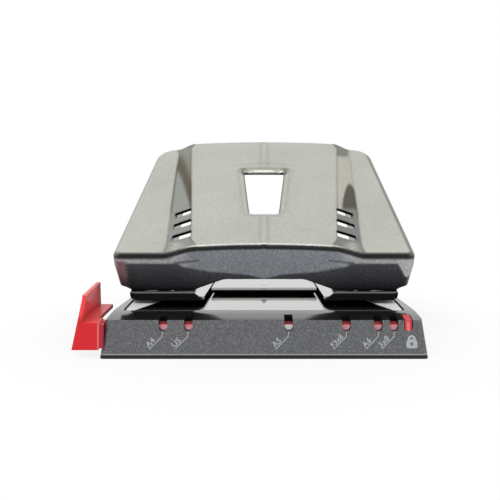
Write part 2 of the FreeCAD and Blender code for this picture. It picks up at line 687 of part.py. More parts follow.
def lever_arm(side):
    pivot_s, pivot_n = in_lever_plane(AXLE_Y, AXLE_Z)
    press_s, press_n = in_lever_plane(PIN_Y, PRESS_Z)
    front_s = pivot_s - EAR_R
    profile = [
        (front_s, -COVER_T), (front_s, pivot_n), (pivot_s, pivot_n - EAR_R),
        (press_s, press_n - EAR_R), (press_s + EAR_R, press_n), (ARM_LENGTH, -ARM_REAR_DEPTH),
        (ARM_LENGTH, -COVER_T),
    ]
    parts = [
        prism_x(profile, PIN_X - WEB_OUTER, PIN_X - WEB_INNER),
        prism_x(profile, PIN_X + WEB_INNER, PIN_X + WEB_OUTER),
        box(PIN_X - WEB_OUTER, PIN_X + WEB_OUTER, front_s, ARM_LENGTH, -COVER_T - WEB_T, -COVER_T),
    ]
    arm = join(parts)
    x0 = PIN_X - WEB_OUTER - 1
    x1 = PIN_X + WEB_OUTER + 1
    bores = [
        rod(AXLE_R + AXLE_FIT, V(x0, pivot_s, pivot_n), V(x1, pivot_s, pivot_n)),
        rod(STUD_R, V(x0, press_s, press_n), V(x1, press_s, press_n)),
    ]
    for s, n in rivet_places():
        bores.append(rod(RIVET_R, V(x0, s, n), V(PIN_X, s, n)))
    return on_lever(on_side(arm.cut(bores), side))


def press_pin(side):
    press_s, press_n = in_lever_plane(PIN_Y, PRESS_Z)
    body = rod(PRESS_PIN_R, V(PIN_X - WEB_INNER, press_s, press_n), V(PIN_X + WEB_INNER, press_s, press_n))
    studs = rod(STUD_R, V(PIN_X - WEB_OUTER, press_s, press_n), V(PIN_X + WEB_OUTER, press_s, press_n))
    return on_lever(on_side(join([body, studs]), side))


def rivet_places():
    n = -COVER_T - WEB_T - TIE_DEPTH / 2
    quarter = (TIE_REAR_S - TIE_FRONT_S) / 4
    return [(TIE_FRONT_S + quarter, n), (TIE_REAR_S - quarter, n)]


def lever_tie():
    half = PIN_X - WEB_OUTER
    top = -COVER_T - WEB_T
    plate = box(-half, half, TIE_FRONT_S, TIE_REAR_S, top - TIE_T, top)
    tabs = [box(x, x + TIE_T, TIE_FRONT_S, TIE_REAR_S, top - TIE_DEPTH, top) for x in (-half, half - TIE_T)]
    holes = [rod(RIVET_R, V(-half - 1, s, n), V(half + 1, s, n)) for s, n in rivet_places()]
    return on_lever(join([plate] + tabs).cut(holes))


def lever_rivets():
    rivets = []
    near = PIN_X - WEB_OUTER - TIE_T
    far = PIN_X - WEB_INNER
    for side in (-1, 1):
        for s, n in rivet_places():
            shank = rod(RIVET_R, V(near, s, n), V(far, s, n))
            head = rod(RIVET_HEAD_R, V(near - RIVET_HEAD_T, s, n), V(near, s, n))
            tail = rod(RIVET_HEAD_R, V(far, s, n), V(far + RIVET_HEAD_T, s, n))
            rivets.append(on_side(join([shank, head, tail]), side))
    return on_lever(Part.makeCompound(rivets))


# ---- paper guide ---------------------------------------------------------------------------
def guide_end_x():
    """Closed end of the guide's channel, less the fit."""
    return half_width(front_face_y(TABLE_Z), TABLE_Z) - GUIDE_SKIN - GUIDE_FIT


def stop_face(z):
    """Inner face of the stop at a height; it leans out towards the desk."""
    return -(STOP_FACE_X - STOP_LEAN * (z - LEDGE_TOP_Z))


def stop_fin():
    low = LEDGE_TOP_Z - LEDGE_T
    top = STOP_TOP_FRONT_Z
    front = [(stop_face(low) - STOP_T, low), (stop_face(low), low), (stop_face(top), top),
             (stop_face(top) - STOP_T, top)]
    rear = [(-STOP_REAR_X - STOP_T, low), (-STOP_REAR_X, low), (-STOP_REAR_X, top), (-STOP_REAR_X - STOP_T, top)]
    return skin_between([V(x, FRONT_Y, z) for x, z in front], [V(x, STOP_REAR_Y, z) for x, z in rear])


def stop_block():
    return prism_y([
        (stop_face(STOP_BOTTOM_Z) - STOP_T, STOP_BOTTOM_Z),
        (-BLOCK_EDGE_X, STOP_BOTTOM_Z),
        (-BLOCK_EDGE_X, LEDGE_TOP_Z),
        (stop_face(LEDGE_TOP_Z) - STOP_T, LEDGE_TOP_Z),
    ], FRONT_Y, GUIDE_REAR_Y)


def stop_outline():
    """Side view of the stop, which trims its front and its top."""
    front = FRONT_Y + STOP_FRONT_LEAN * STOP_BOTTOM_Z
    front_top = FRONT_Y + STOP_FRONT_LEAN * STOP_TOP_FRONT_Z
    return prism_x([
        (front, STOP_BOTTOM_Z), (front_top, STOP_TOP_FRONT_Z), (STOP_REAR_Y, STOP_TOP_REAR_Z),
        (STOP_REAR_Y, STOP_BOTTOM_Z),
    ], -STOP_FACE_X - STOP_REACH, 0)


def paper_guide():
    ledge = box(stop_face(LEDGE_TOP_Z) - STOP_T / 2, -LEDGE_EDGE_X, FRONT_Y, STOP_REAR_Y,
                LEDGE_TOP_Z - LEDGE_T, LEDGE_TOP_Z)
    neck = box(-BLOCK_EDGE_X, -half_width(FRONT_Y, TABLE_Z), FRONT_Y + NECK_STEP, GUIDE_REAR_Y,
               STOP_BOTTOM_Z + NECK_STEP, LEDGE_TOP_Z - NECK_STEP)
    neck = neck.cut(housing_block(-1, TABLE_Z + 1, -FACE_PLAY))
    stop = join([stop_fin(), stop_block(), ledge, neck]).common(stop_outline())
    bar = prism_x(guide_section(0), -BLOCK_EDGE_X, guide_end_x())
    return join([stop, bar])


def guide_tongue():
    """Sprung tongue of the guide, which fills the window it snaps into."""
    block = window_cut(TONGUE_X, WINDOW_HALF - TONGUE_PLAY).common(housing_block(0, TABLE_Z, 0))
    band_front = FRONT_Y - 2
    above = prism_x([
        (band_front, band_z(band_front)), (BAND_REAR_Y, TABLE_Z),
        (BAND_REAR_Y, TABLE_Z + 3), (band_front, TABLE_Z + 3),
    ], 0, FRONT_HALF_WIDTH)
    bar = prism_x(guide_section(0), TONGUE_X - WINDOW_HALF * 2, TONGUE_X + WINDOW_HALF * 2)
    pieces = block.cut([above, bar]).Solids
    return max(pieces, key=lambda solid: solid.Volume)


def main():
    parts = {
        "base_shell": base_shell(),
        "chip_tray": chip_tray(),
        "die_plate": die_plate(),
        "paper_stop": paper_stop(),
        "throat_plate": throat_plate(),
        "plate_screws": plate_screws(),
        "hinge_axle": hinge_axle(),
        "axle_clips": axle_clips(),
        "handle_cover": handle_cover(),
        "lever_tie": lever_tie(),
        "lever_rivets": lever_rivets(),
        "paper_guide": paper_guide(),
        "guide_tongue": guide_tongue(),
    }
    for side, name in ((-1, "left"), (1, "right")):
        parts["jaw_plate_" + name] = jaw_plate(side)
        parts["jaw_cover_" + name] = jaw_cover(side)
        parts["punch_bracket_" + name] = punch_bracket(side)
        parts["pin_bush_" + name] = pin_bush(side)
        parts["pin_spring_" + name] = pin_spring(side)
        parts["punch_pin_" + name] = punch_pin(side)
        parts["lever_arm_" + name] = lever_arm(side)
        parts["press_pin_" + name] = press_pin(side)
    for name, shape in sorted(parts.items()):
        shape.exportStep("parts/" + name + ".step")
        size = shape.BoundBox
        print(name, len(shape.Solids), shape.isValid(), round(shape.Volume, 1),
              [round(v, 2) for v in (size.XMin, size.XMax, size.YMin, size.YMax, size.ZMin, size.ZMax)])
    print("stroke", round(PIN_STROKE, 3), "per radian", round(PIN_STROKE / (2 * HALF_PRESS), 4))


main()
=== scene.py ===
import json
import math

import bmesh
import bpy
from mathutils import Matrix, Vector
from mathutils.geometry import delaunay_2d_cdt

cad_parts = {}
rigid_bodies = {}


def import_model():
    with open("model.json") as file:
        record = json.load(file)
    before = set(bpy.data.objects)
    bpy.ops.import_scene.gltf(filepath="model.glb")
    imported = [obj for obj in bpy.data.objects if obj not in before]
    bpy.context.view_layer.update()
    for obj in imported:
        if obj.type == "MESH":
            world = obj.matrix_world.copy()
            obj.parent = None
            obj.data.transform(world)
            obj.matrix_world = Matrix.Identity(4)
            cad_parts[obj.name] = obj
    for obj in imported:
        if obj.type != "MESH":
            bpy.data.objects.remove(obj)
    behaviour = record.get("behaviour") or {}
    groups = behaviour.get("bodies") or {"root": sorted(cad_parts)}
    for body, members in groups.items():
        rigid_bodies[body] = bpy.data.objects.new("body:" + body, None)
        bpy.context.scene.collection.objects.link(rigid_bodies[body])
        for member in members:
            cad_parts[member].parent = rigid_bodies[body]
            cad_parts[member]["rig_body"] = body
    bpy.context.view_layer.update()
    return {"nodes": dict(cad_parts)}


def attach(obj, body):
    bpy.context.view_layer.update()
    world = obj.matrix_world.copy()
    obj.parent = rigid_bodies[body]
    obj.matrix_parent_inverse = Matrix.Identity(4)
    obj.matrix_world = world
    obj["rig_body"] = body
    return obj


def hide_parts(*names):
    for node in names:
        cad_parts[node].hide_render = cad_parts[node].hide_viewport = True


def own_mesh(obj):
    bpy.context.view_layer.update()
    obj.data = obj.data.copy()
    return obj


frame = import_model()

# Lengths are written in millimetres and turned into metres by MM.
MM = 0.001

# ---- the handle cover, drawn in its own tilted plane: x, s from the front edge, n upwards -----
LEVER_TILT = math.radians(26.5)
COVER_FRONT_Y = -27.5
COVER_FRONT_Z = 33.3
COVER_LENGTH = 88.0
COVER_T = 1.0
COVER_FRONT_HALF = 56.1
COVER_REAR_HALF = 48.6
FRONT_CORNER_R = 3.4
REAR_CORNER_R = 9.0
SIDE_BEND_R = 2.7
FRONT_BEND_R = 1.9
REAR_BEND_R = 1.5
RIDGE_RISE = 3.1
RIDGE_FRONT_HALF = 26.6
RIDGE_REAR_HALF = 33.8
RAMP_FRONT_HALF = 36.2
RAMP_REAR_HALF = 39.4
CROWN = 0.9
SLOPE_ROUNDING = 0.12           # share of a slope's length that its two bends take up
FLARE_LENGTH = 7.0
FLARE_RIDGE = 2.2               # how far the ridges draw in at the cover's two ends
FLARE_RAMP = 1.2                # and how far the feet of the ramps spread there
SKIRT_DEPTH = 16.1
SKIRT_MID_DEPTH = 10.9
SKIRT_MID_HALF = 15.0
SKIRT_STEP_HALF = 27.0
SKIRT_UPRIGHT = 6.0             # the side walls hang straight down to this depth
SKIRT_LEAN = 0.14               # and lean in by this much per millimetre below it
FLANGE_FRONT = 14.3
FLANGE_REAR = 5.0
WINDOW_FRONT_S = 23.7
WINDOW_REAR_S = 58.7
WINDOW_FRONT_HALF = 5.7
WINDOW_REAR_HALF = 8.6
WINDOW_CORNER_R = 1.5
LIP_WIDTH = 2.3
LIP_DEPTH = 1.0
DENT_LENGTH = 4.5
DENT_DEPTH = 0.7
RIB_HALF = 0.75
RIB_RISE = 0.16
RIB_EDGE = 0.35
VENT_COUNT = 3
VENT_FIRST_S = 9.8
VENT_PITCH = 8.2
VENT_OUTER_MARGIN = 2.0
VENT_WIDTH = 3.9
VENT_SLANT = 0.2
VENT_CORNER_R = 0.35

# ---- how finely the cover is meshed --------------------------
BEND_STEPS = 8
WALL_STEPS = 26
OUTLINE_STEP = 0.65
WINDOW_STEP = 0.55
RIM_STEP = 0.9
RIM_RINGS = (0.25, 0.5, 0.8, 1.15, 1.6, 2.3, 3.2)
RIM_WIDTH = 3.6                 # the grid's lines keep this far from the window
GRID_GAP = 0.3                  # and this far from the outline and the vents
CREASE_LINES = (-0.7, -0.35, 0, 0.35, 0.7)
CREASE_HALF = 0.7
CREASE_MARGIN = 1.1
WINDOW_FIELD = 4.5              # the window is measured only from within this distance
VENT_FIELD_HALF = (26, 38)
VENT_FIELD_S = 31

# ---- the housing's front face and its marks ------------------
FRONT_Y = -47.5
FRONT_LEAN = 0.31
TABLE_Z = 14.0
THROAT_Z = 16.6
WINDOW_FOOT_Z = 9.1
TONGUE_X = 50.0
PARKED_WIDTH = 127.0
LABELS = (("A4", 297.0), ("US", 279.4), ("A5", 210.0), ("F3x8", 170.0), ("A6", 148.0), ("3x8", 137.0))
MARK_LIFT = 0.04
INK_T = 0.02
TEXT_SIZE = 2.75
LONG_TEXT_SIZE = 2.45           # for marks of four letters
TEXT_LIFT = 0.42                # from the leader up to the letters
LEADER_WIDTH = 0.28
LEADER_BEND_Z = 7.3
LEADER_REACH = 4.3
LEADER_SLOPE = 0.96
PADLOCK_X = TONGUE_X + 0.9
PADLOCK_FOOT_Z = 3.5
PADLOCK_TOP_Z = 6.4
PADLOCK_HALF = 2.0
PADLOCK_TAPER = 0.3
PADLOCK_CORNER_R = 0.7
KEYHOLE_R = 0.55
SHACKLE_INNER_R = 0.65
SHACKLE_OUTER_R = 1.4
POINTER_INNER, POINTER_OUTER = 0.1, 1.15
POINTER_BASE_Y, POINTER_TIP_Y = -14.0, -21.5
NOTCH_HALF, NOTCH_LINE = 2.6, 0.5
NOTCH_REAR_Y, NOTCH_TIP_Y = 7.6, 2.4

# ---- zones of the materials, in the object's own coordinates -----
STOP_FACE_X = -56.0             # inner face of the guide's stop
# the stop is painted lighter red above this height, painted light on faces that lie in shade
STOP_RAISED_Z = 14.0
BAR_END_X = 47.3                # end of the guide's bar, where the catch begins
BAR_DARK_Z = 11.15              # the bar is painted dark above this height, a painted shade
BAR_PALE_Z = 10.75              # and painted pale below this one, a painted reflection
# a painted reflection on the bar, seen in the A5 window while the guide is parked
A5_GLARE_X = (6.6, 10.4)
# painted shade at the catch's left rim and right end, and a painted highlight between them
CATCH_RIM_X = (47.6, 48.7)
CATCH_GLINT_X = (49.6, 50.1)
CATCH_END_X = 51.0
REFLECTION_PATCH_END = 32.3               # a painted reflection: the table is made pale and matt beyond a slanted line across each end
REFLECTION_PATCH_SLANT = 0.43
REFLECTION_PATCH_REAR_Y = -9.0
# the jaw sheets are painted black between these, a painted shade and dark reflection under the lever
JAW_TOP_Z = 16.0
JAW_DARK_X = (26.9, 43.5)
JAW_EDGE_Z = (18.05, 18.7)      # a painted highlight along the jaw covers' upper edge
JAW_EDGE_REAR_Y = -20.4
FOOT_LINE_Z = (1.15, 1.65)      # a painted highlight line round the housing's foot

# ---- finish of the dressed parts -----------------------------
EDGE_ANGLE = 32                 # degrees; sharper edges are rounded and stay crisp
COVER_EDGE_ANGLE = 50

# ---- lights, floor and camera, in metres ---------------------
WORLD_STRENGTH = 0.55
LIGHTS = (("key", (-0.35, -0.45, 0.75), 3.2), ("fill", (0.55, -0.35, 0.5), 1.6))
LIGHT_SIZE = 0.5
LIGHT_TARGET = (0, 0, 0.03)
FLOOR_HALF = 3.0
FLOOR_GREY = 0.86
FLOOR_GLOW_RADII = (0.055, 0.12)
FLOOR_GLOW_SHARES = (0.84, 1.0)
CAMERA_Y = -0.28607
CAMERA_Z = 0.06847
CAMERA_PITCH = math.radians(7.344)
CAMERA_LENS = 51.5
CAMERA_SHIFT = -0.0281


# ---- node helpers --------------------------------------------
class Nodes:
    """An emptied node tree, with short ways to add, link and combine nodes."""

    def __init__(self, tree, output):
        self.tree = tree
        tree.nodes.clear()
        self.out = self.add(output)

    def add(self, kind, inputs=None, **settings):
        node = self.tree.nodes.new(kind)
        for key, value in settings.items():
            setattr(node, key, value)
        for key, value in (inputs or {}).items():
            self.put(node, key, value)
        return node

    def put(self, node, key, value):
        if isinstance(value, bpy.types.NodeSocket):
            self.tree.links.new(value, node.inputs[key])
        else:
            node.inputs[key].default_value = value

    def calc(self, operation, *values):
        return self.add("ShaderNodeMath", dict(enumerate(values)), operation=operation).outputs[0]

    def blend(self, share, first, second):
        """One shader turning into another, sent to the output."""
        both = self.add("ShaderNodeMixShader", {0: share, 1: first.outputs[0], 2: second.outputs[0]})
        self.put(self.out, "Surface", both.outputs[0])

    def background_ray(self):
        """1 for rays that see the surroundings: from the camera, from gloss and through glass."""
        path = self.add("ShaderNodeLightPath")
        seen = path.outputs["Is Camera Ray"]
        for name in ("Is Glossy Ray", "Is Transmission Ray"):
            seen = self.calc("MAXIMUM", seen, path.outputs[name])
        return seen


class Shader(Nodes):
    """The node tree of a new material."""

    def __init__(self, name):
        self.material = bpy.data.materials.new(name)
        self.material.use_nodes = True
        super().__init__(self.material.node_tree, "ShaderNodeOutputMaterial")

    def place(self, scale):
        """Object coordinates times a scale given per millimetre."""
        coords = self.add("ShaderNodeTexCoord")
        factor = scale if isinstance(scale, tuple) else (scale,) * 3
        mapping = self.add("ShaderNodeMapping", {
            "Vector": coords.outputs["Object"], "Scale": tuple(f / MM for f in factor),
        })
        return mapping.outputs["Vector"]

    def axis(self, name, absolute=False):
        """One object coordinate, in millimetres."""
        coords = self.add("ShaderNodeTexCoord")
        parts = self.add("ShaderNodeSeparateXYZ", {"Vector": coords.outputs["Object"]})
        scaled = self.calc("MULTIPLY", parts.outputs[name], 1 / MM)
        return self.calc("ABSOLUTE", scaled) if absolute else scaled

    def step(self, value, start, end):
        """0 before start, 1 past end."""
        node = self.add("ShaderNodeMapRange", {"Value": value, "From Min": start, "From Max": end})
        return node.outputs["Result"]

    def above(self, value, level, soft):
        return self.step(value, level - soft, level + soft)

    def below(self, value, level, soft):
        return self.step(value, level + soft, level - soft)

    def band(self, value, low, high, soft):
        """1 between two values, 0 outside them."""
        return self.times(self.above(value, low, soft), self.below(value, high, soft))

    def times(self, first, *others):
        for other in others:
            first = self.calc("MULTIPLY", first, other)
        return first

    def noise(self, scale, detail=3.0, roughness=0.55):
        node = self.add("ShaderNodeTexNoise", {
            "Vector": self.place(scale), "Scale": 1.0, "Detail": detail, "Roughness": roughness,
        })
        return node.outputs["Fac"]

    def ramp(self, fac, stops):
        node = self.add("ShaderNodeValToRGB", {"Fac": fac})
        elements = node.color_ramp.elements
        while len(elements) < len(stops):
            elements.new(0.5)
        for element, (at, colour) in zip(elements, stops):
            element.position = at
            element.color = as_rgba(colour)
        return node.outputs["Color"]

    def span(self, fac, low, high):
        """The range 0 to 1 turned into low to high."""
        node = self.add("ShaderNodeMapRange", {"Value": fac, "To Min": low, "To Max": high})
        return node.outputs["Result"]

    def mix(self, fac, first, second, blend="MIX"):
        """Sockets 0, 6 and 7 of the node are its factor and its two colours."""
        node = self.add("ShaderNodeMix", {0: fac}, data_type="RGBA", blend_type=blend)
        for key, colour in ((6, first), (7, second)):
            linked = isinstance(colour, bpy.types.NodeSocket)
            self.put(node, key, colour if linked else as_rgba(colour))
        return node.outputs[2]

    def bump(self, height, strength, distance):
        depth = distance * MM
        node = self.add("ShaderNodeBump", {"Height": height, "Strength": strength, "Distance": depth})
        return node.outputs["Normal"]

    def surface(self, **inputs):
        """Ends the material in one shader, whose inputs are named with _ for each space."""
        named = {key.replace("_", " "): value for key, value in inputs.items()}
        shader = self.add("ShaderNodeBsdfPrincipled", named)
        self.put(self.out, "Surface", shader.outputs["BSDF"])
        return self.material


def as_rgba(colour):
    if isinstance(colour, (int, float)):
        colour = (colour,) * 3
    return tuple(colour[:3]) + (1.0,)


# ---- materials -----------------------------------------------
def grained(name, grain, colours, rough, bump=None, **inputs):
    """A material of two close colours, whose grain also roughens and embosses it."""
    sh = Shader(name)
    fac = sh.noise(*grain)
    if bump is not None:
        inputs["Normal"] = sh.bump(fac, *bump)
    return sh.surface(Base_Color=sh.mix(fac, *colours), Roughness=sh.span(fac, *rough), **inputs)


def satin_silver():
    """Champagne-silver lacquered steel with a fine grain; the tint attribute holds the painted reflections,
    highlights and shade of its forms.
    """
    sh = Shader("satin_silver")
    tint = sh.add("ShaderNodeAttribute", attribute_name="tint")
    shaded = tint.outputs["Alpha"]
    grain = sh.noise(2.6, 2.0, 0.7)
    fine = sh.ramp(grain, [(0.36, 0.78), (0.50, 1.0), (0.64, 1.14)])
    coarse = sh.ramp(sh.noise(1.3, 3.0, 0.8), [(0.38, 0.72), (0.52, 1.0), (0.66, 1.25)])
    cloud = sh.ramp(sh.noise(0.035, 2.0), [(0.3, 0.95), (0.7, 1.05)])
    colour = sh.mix(1.0, tint.outputs["Color"], sh.mix(shaded, fine, coarse), "MULTIPLY")
    return sh.surface(Base_Color=sh.mix(1.0, colour, cloud, "MULTIPLY"), Metallic=sh.span(shaded, 0.9, 0.0),
                      Specular_IOR_Level=sh.span(shaded, 0.5, 0.04), Roughness=sh.span(grain, 0.30, 0.44),
                      Normal=sh.bump(grain, 0.22, 0.05))


def polished_steel():
    """Polished steel, with a pale matt patch at each end of the paper table, a painted reflection of light
    under the jaws.
    """
    sh = Shader("polished_steel")
    streak = sh.noise((0.05, 1.6, 1.6), 4.0, 0.6)
    deep = sh.axis("Y")
    # painted reflection: the table's ends turn pale and matt, as if lit from under the jaws
    reach = sh.calc("MULTIPLY_ADD", deep, REFLECTION_PATCH_SLANT, sh.axis("X", absolute=True))
    reflection_patch = sh.times(sh.above(reach, REFLECTION_PATCH_END, 0.3), sh.below(sh.axis("Z"), TABLE_Z + 1, 0.2),
                      sh.below(deep, REFLECTION_PATCH_REAR_Y, 1.0))
    colour = sh.mix(sh.noise(0.06, 2.0), (0.45, 0.46, 0.44), (0.52, 0.53, 0.51))
    rough = sh.calc("MULTIPLY_ADD", reflection_patch, 0.5, sh.span(streak, 0.05, 0.13))
    return sh.surface(Base_Color=sh.mix(reflection_patch, colour, (0.86, 0.86, 0.84)), Roughness=rough,
                      Metallic=sh.span(reflection_patch, 1.0, 0.0), Normal=sh.bump(streak, 0.04, 0.02))


def jaw_steel():
    """Steel that is polished at its ends and painted black where the lever covers it, a painted shade and
    dark reflection.
    """
    sh = Shader("jaw_steel")
    streak = sh.noise((0.05, 1.6, 1.6), 4.0, 0.6)
    across = sh.axis("X", absolute=True)
    covered = sh.calc("MAXIMUM", sh.below(across, JAW_DARK_X[1], 0.5),
                      sh.above(sh.axis("Z"), JAW_TOP_Z, 0.2))
    # painted shade: black where the lever covers the jaw sheets
    dark = sh.times(sh.above(across, JAW_DARK_X[0], 0.5), covered)
    bare = sh.mix(streak, (0.48, 0.49, 0.47), (0.54, 0.55, 0.53))
    return sh.surface(Base_Color=sh.mix(dark, bare, (0.010, 0.010, 0.011)), Metallic=sh.span(dark, 1.0, 0.0),
                      Roughness=sh.span(dark, 0.10, 0.7), Specular_IOR_Level=sh.span(dark, 0.5, 0.05),
                      Normal=sh.bump(streak, 0.04, 0.02))


def bright_steel():
    return grained("bright_steel", ((2.2, 0.25, 0.25), 3.0, 0.6), ((0.50, 0.50, 0.49), (0.66, 0.66, 0.65)),
                   (0.18, 0.34), bump=(0.10, 0.03), Metallic=1.0)


def black_steel():
    return grained("black_steel", (0.9, 3.0), ((0.016, 0.016, 0.018), (0.032, 0.032, 0.035)),
                   (0.25, 0.40), bump=(0.12, 0.06), Coat_Weight=0.3, Coat_Roughness=0.2)


def tray_plastic():
    return grained("tray_plastic", (1.2, 4.0, 0.7), ((0.012, 0.012, 0.013), (0.024, 0.024, 0.026)),
                   (0.5, 0.7), bump=(0.25, 0.06), Specular_IOR_Level=0.2)


def recess_black():
    """The unlit inside of the format windows."""
    return grained("recess_black", (1.2, 3.0), ((0.006, 0.006, 0.007), (0.012, 0.012, 0.013)),
                   (0.6, 0.8), Specular_IOR_Level=0.05)


def printed_black():
    return grained("printed_black", (1.5, 3.0), (0.010, 0.030), (0.3, 0.5))


def faint_mark():
    return grained("faint_mark", (1.5, 3.0), ((0.44, 0.45, 0.44), (0.54, 0.55, 0.54)),
                   (0.25, 0.35), Metallic=0.9)


def printed_grey():
    sh = Shader("printed_grey")
    wear = sh.noise(2.4, 3.0, 0.7)
    colour = sh.ramp(wear, [(0.30, (0.25, 0.26, 0.28)), (0.55, (0.45, 0.46, 0.49))])
    return sh.surface(Base_Color=colour, Roughness=sh.span(wear, 0.45, 0.6))


def textured_plastic():
    """The speckled dark grey of the housing's faces, with a painted highlight line round the foot."""
    sh = Shader("textured_plastic")
    grain = sh.noise(2.3, 4.0, 0.7)
    patch = sh.noise(0.07, 3.0)
    speck = sh.ramp(grain, [(0.39, (0.040, 0.042, 0.045)), (0.52, (0.090, 0.093, 0.099)),
                            (0.64, (0.215, 0.222, 0.235))])
    colour = sh.mix(sh.span(patch, 0.0, 0.40), speck, (0.115, 0.12, 0.128))
    # a painted highlight line round the foot
    foot = sh.band(sh.axis("Z"), *FOOT_LINE_Z, 0.12)
    colour = sh.mix(sh.times(foot, sh.span(grain, 0.3, 1.0)), colour, (0.36, 0.37, 0.39))
    return sh.surface(Base_Color=colour, Roughness=sh.span(grain, 0.38, 0.60),
                      Normal=sh.bump(grain, 0.35, 0.08))


def gloss_plastic():
    """The glossy black of the housing's top."""
    sh = Shader("gloss_plastic")
    cloud = sh.noise(0.12, 3.0)
    colour = sh.mix(cloud, (0.004, 0.004, 0.005), (0.009, 0.009, 0.010))
    return sh.surface(Base_Color=colour, Roughness=sh.span(cloud, 0.10, 0.18), Specular_IOR_Level=1.0,
                      Normal=sh.bump(sh.noise(0.8, 2.0), 0.05, 0.05), Coat_Weight=0.35, Coat_Roughness=0.10)


def jaw_plastic():
    """Deep black of the jaw covers, with a painted highlight along the upper edge."""
    sh = Shader("jaw_plastic")
    cloud = sh.noise(0.12, 3.0)
    colour = sh.mix(cloud, (0.003, 0.003, 0.004), (0.006, 0.006, 0.008))
    # a painted highlight along the covers' upper edge
    edge = sh.times(sh.band(sh.axis("Z"), *JAW_EDGE_Z, 0.1), sh.below(sh.axis("Y"), JAW_EDGE_REAR_Y, 0.4))
    colour = sh.mix(edge, colour, (0.16, 0.16, 0.17))
    return sh.surface(Base_Color=colour, Roughness=sh.span(cloud, 0.30, 0.42), Specular_IOR_Level=0.06,
                      Normal=sh.bump(sh.noise(0.8, 2.0), 0.05, 0.05))


def red_plastic():
    """Translucent-looking red of the guide's stop, its bar and its catch, with painted shade, highlights and
    reflections on them.
    """
    sh = Shader("red_plastic")
    cloud = sh.noise(0.09, 3.0)
    colour = sh.mix(cloud, (0.62, 0.010, 0.016), (0.74, 0.018, 0.026))
    across, up = sh.axis("X"), sh.axis("Z")
    faces = sh.add("ShaderNodeSeparateXYZ", {"Vector": sh.add("ShaderNodeNewGeometry").outputs["Normal"]})

    catch = sh.above(across, BAR_END_X, 0.2)
    # painted shade at the catch's rim and end, with a painted highlight between
    catch_rim = sh.band(across, *CATCH_RIM_X, 0.3)
    catch_glint = sh.times(sh.band(across, *CATCH_GLINT_X, 0.5), sh.below(up, 12.1, 0.5), 0.75)
    catch_end = sh.above(across, CATCH_END_X, 0.3)
    # painted light: the stop's raised fin is made brighter, as its faces lie in shade
    stop_top = sh.times(sh.below(across, STOP_FACE_X - 0.2, 0.2), sh.above(up, STOP_RAISED_Z, 1.0))
    bar = sh.times(sh.above(across, STOP_FACE_X, 0.2), sh.below(across, BAR_END_X, 0.2))
    # painted shade on the bar's upper face and a painted reflection on its lower face
    bar_top = sh.times(bar, sh.above(up, BAR_DARK_Z, 0.35))
    bar_low = sh.times(bar, sh.below(up, BAR_PALE_Z, 0.25))
    bar_glow = sh.times(bar_low, sh.span(sh.noise(0.05, 1.0), 0.6, 1.0))
    # a painted pale reflection on the bar's lower face in the A5 window
    a5_glare = sh.times(bar_low, sh.band(across, *A5_GLARE_X, 0.1))
    # painted shade on the guide's neck beside the housing
    neck = sh.times(sh.band(across, STOP_FACE_X - 0.7, STOP_FACE_X + 2, 0.1),
                    sh.below(sh.axis("Y"), -41.5, 0.5))
    # a painted highlight along the seam between the stop and its neck
    seam_highlight = sh.times(sh.band(across, STOP_FACE_X - 1.25, STOP_FACE_X - 0.75, 0.12), sh.below(up, 12.4, 0.2),
                    sh.span(cloud, 0.6, 0.9))
    # painted light on the stop's upward-facing ledge
    lit_ledge = sh.times(sh.above(faces.outputs["Z"], 0.875, 0.075), sh.below(across, STOP_FACE_X - 1.15, 0.25))
    for zone, shown in (
        (catch, (0.66, 0.045, 0.055)), (catch_rim, (0.34, 0.012, 0.018)),
        (catch_glint, (0.94, 0.36, 0.38)), (catch_end, (0.14, 0.004, 0.006)),
        (stop_top, (0.92, 0.055, 0.06)), (bar_top, (0.16, 0.006, 0.014)),
        (bar_glow, (0.96, 0.50, 0.54)), (a5_glare, (0.98, 0.90, 0.90)),
        (neck, (0.40, 0.016, 0.040)), (seam_highlight, (0.86, 0.24, 0.22)), (lit_ledge, (0.86, 0.075, 0.07)),
    ):
        colour = sh.mix(zone, colour, shown)
    return sh.surface(Base_Color=colour, Roughness=sh.span(cloud, 0.34, 0.46), Specular_IOR_Level=0.3,
                      Normal=sh.bump(sh.noise(0.35, 2.0), 0.06, 0.10),
                      Subsurface_Weight=0.12, Subsurface_Scale=0.8 * MM, Coat_Weight=0.08)


# ---- mesh helpers --------------------------------------------
def link(name, mesh):
    piece = bpy.data.objects.new(name, mesh)
    bpy.context.scene.collection.objects.link(piece)
    return piece


def mesh_from(bm, name):
    mesh = bpy.data.meshes.new(name)
    bm.to_mesh(mesh)
    bm.free()
    return mesh


def smooth_by_angle(mesh, degrees):
    """Smooth faces, with edges sharper than the angle kept crisp."""
    mesh.polygons.foreach_set("use_smooth", [True] * len(mesh.polygons))
    mesh.set_sharp_from_angle(angle=math.radians(degrees))


def bake_modifiers(piece):
    """Replaces a piece's mesh by the result of its modifiers."""
    graph = bpy.context.evaluated_depsgraph_get()
    done = bpy.data.meshes.new_from_object(piece.evaluated_get(graph))
    piece.modifiers.clear()
    piece.data = done


def round_edges(piece, width):
    bevel = piece.modifiers.new("edges", "BEVEL")
    bevel.width = width * MM
    bevel.segments = 2
    bevel.limit_method = "ANGLE"
    bevel.angle_limit = math.radians(EDGE_ANGLE)
    bevel.use_clamp_overlap = True
    bevel.miter_outer = "MITER_ARC"
    bake_modifiers(piece)


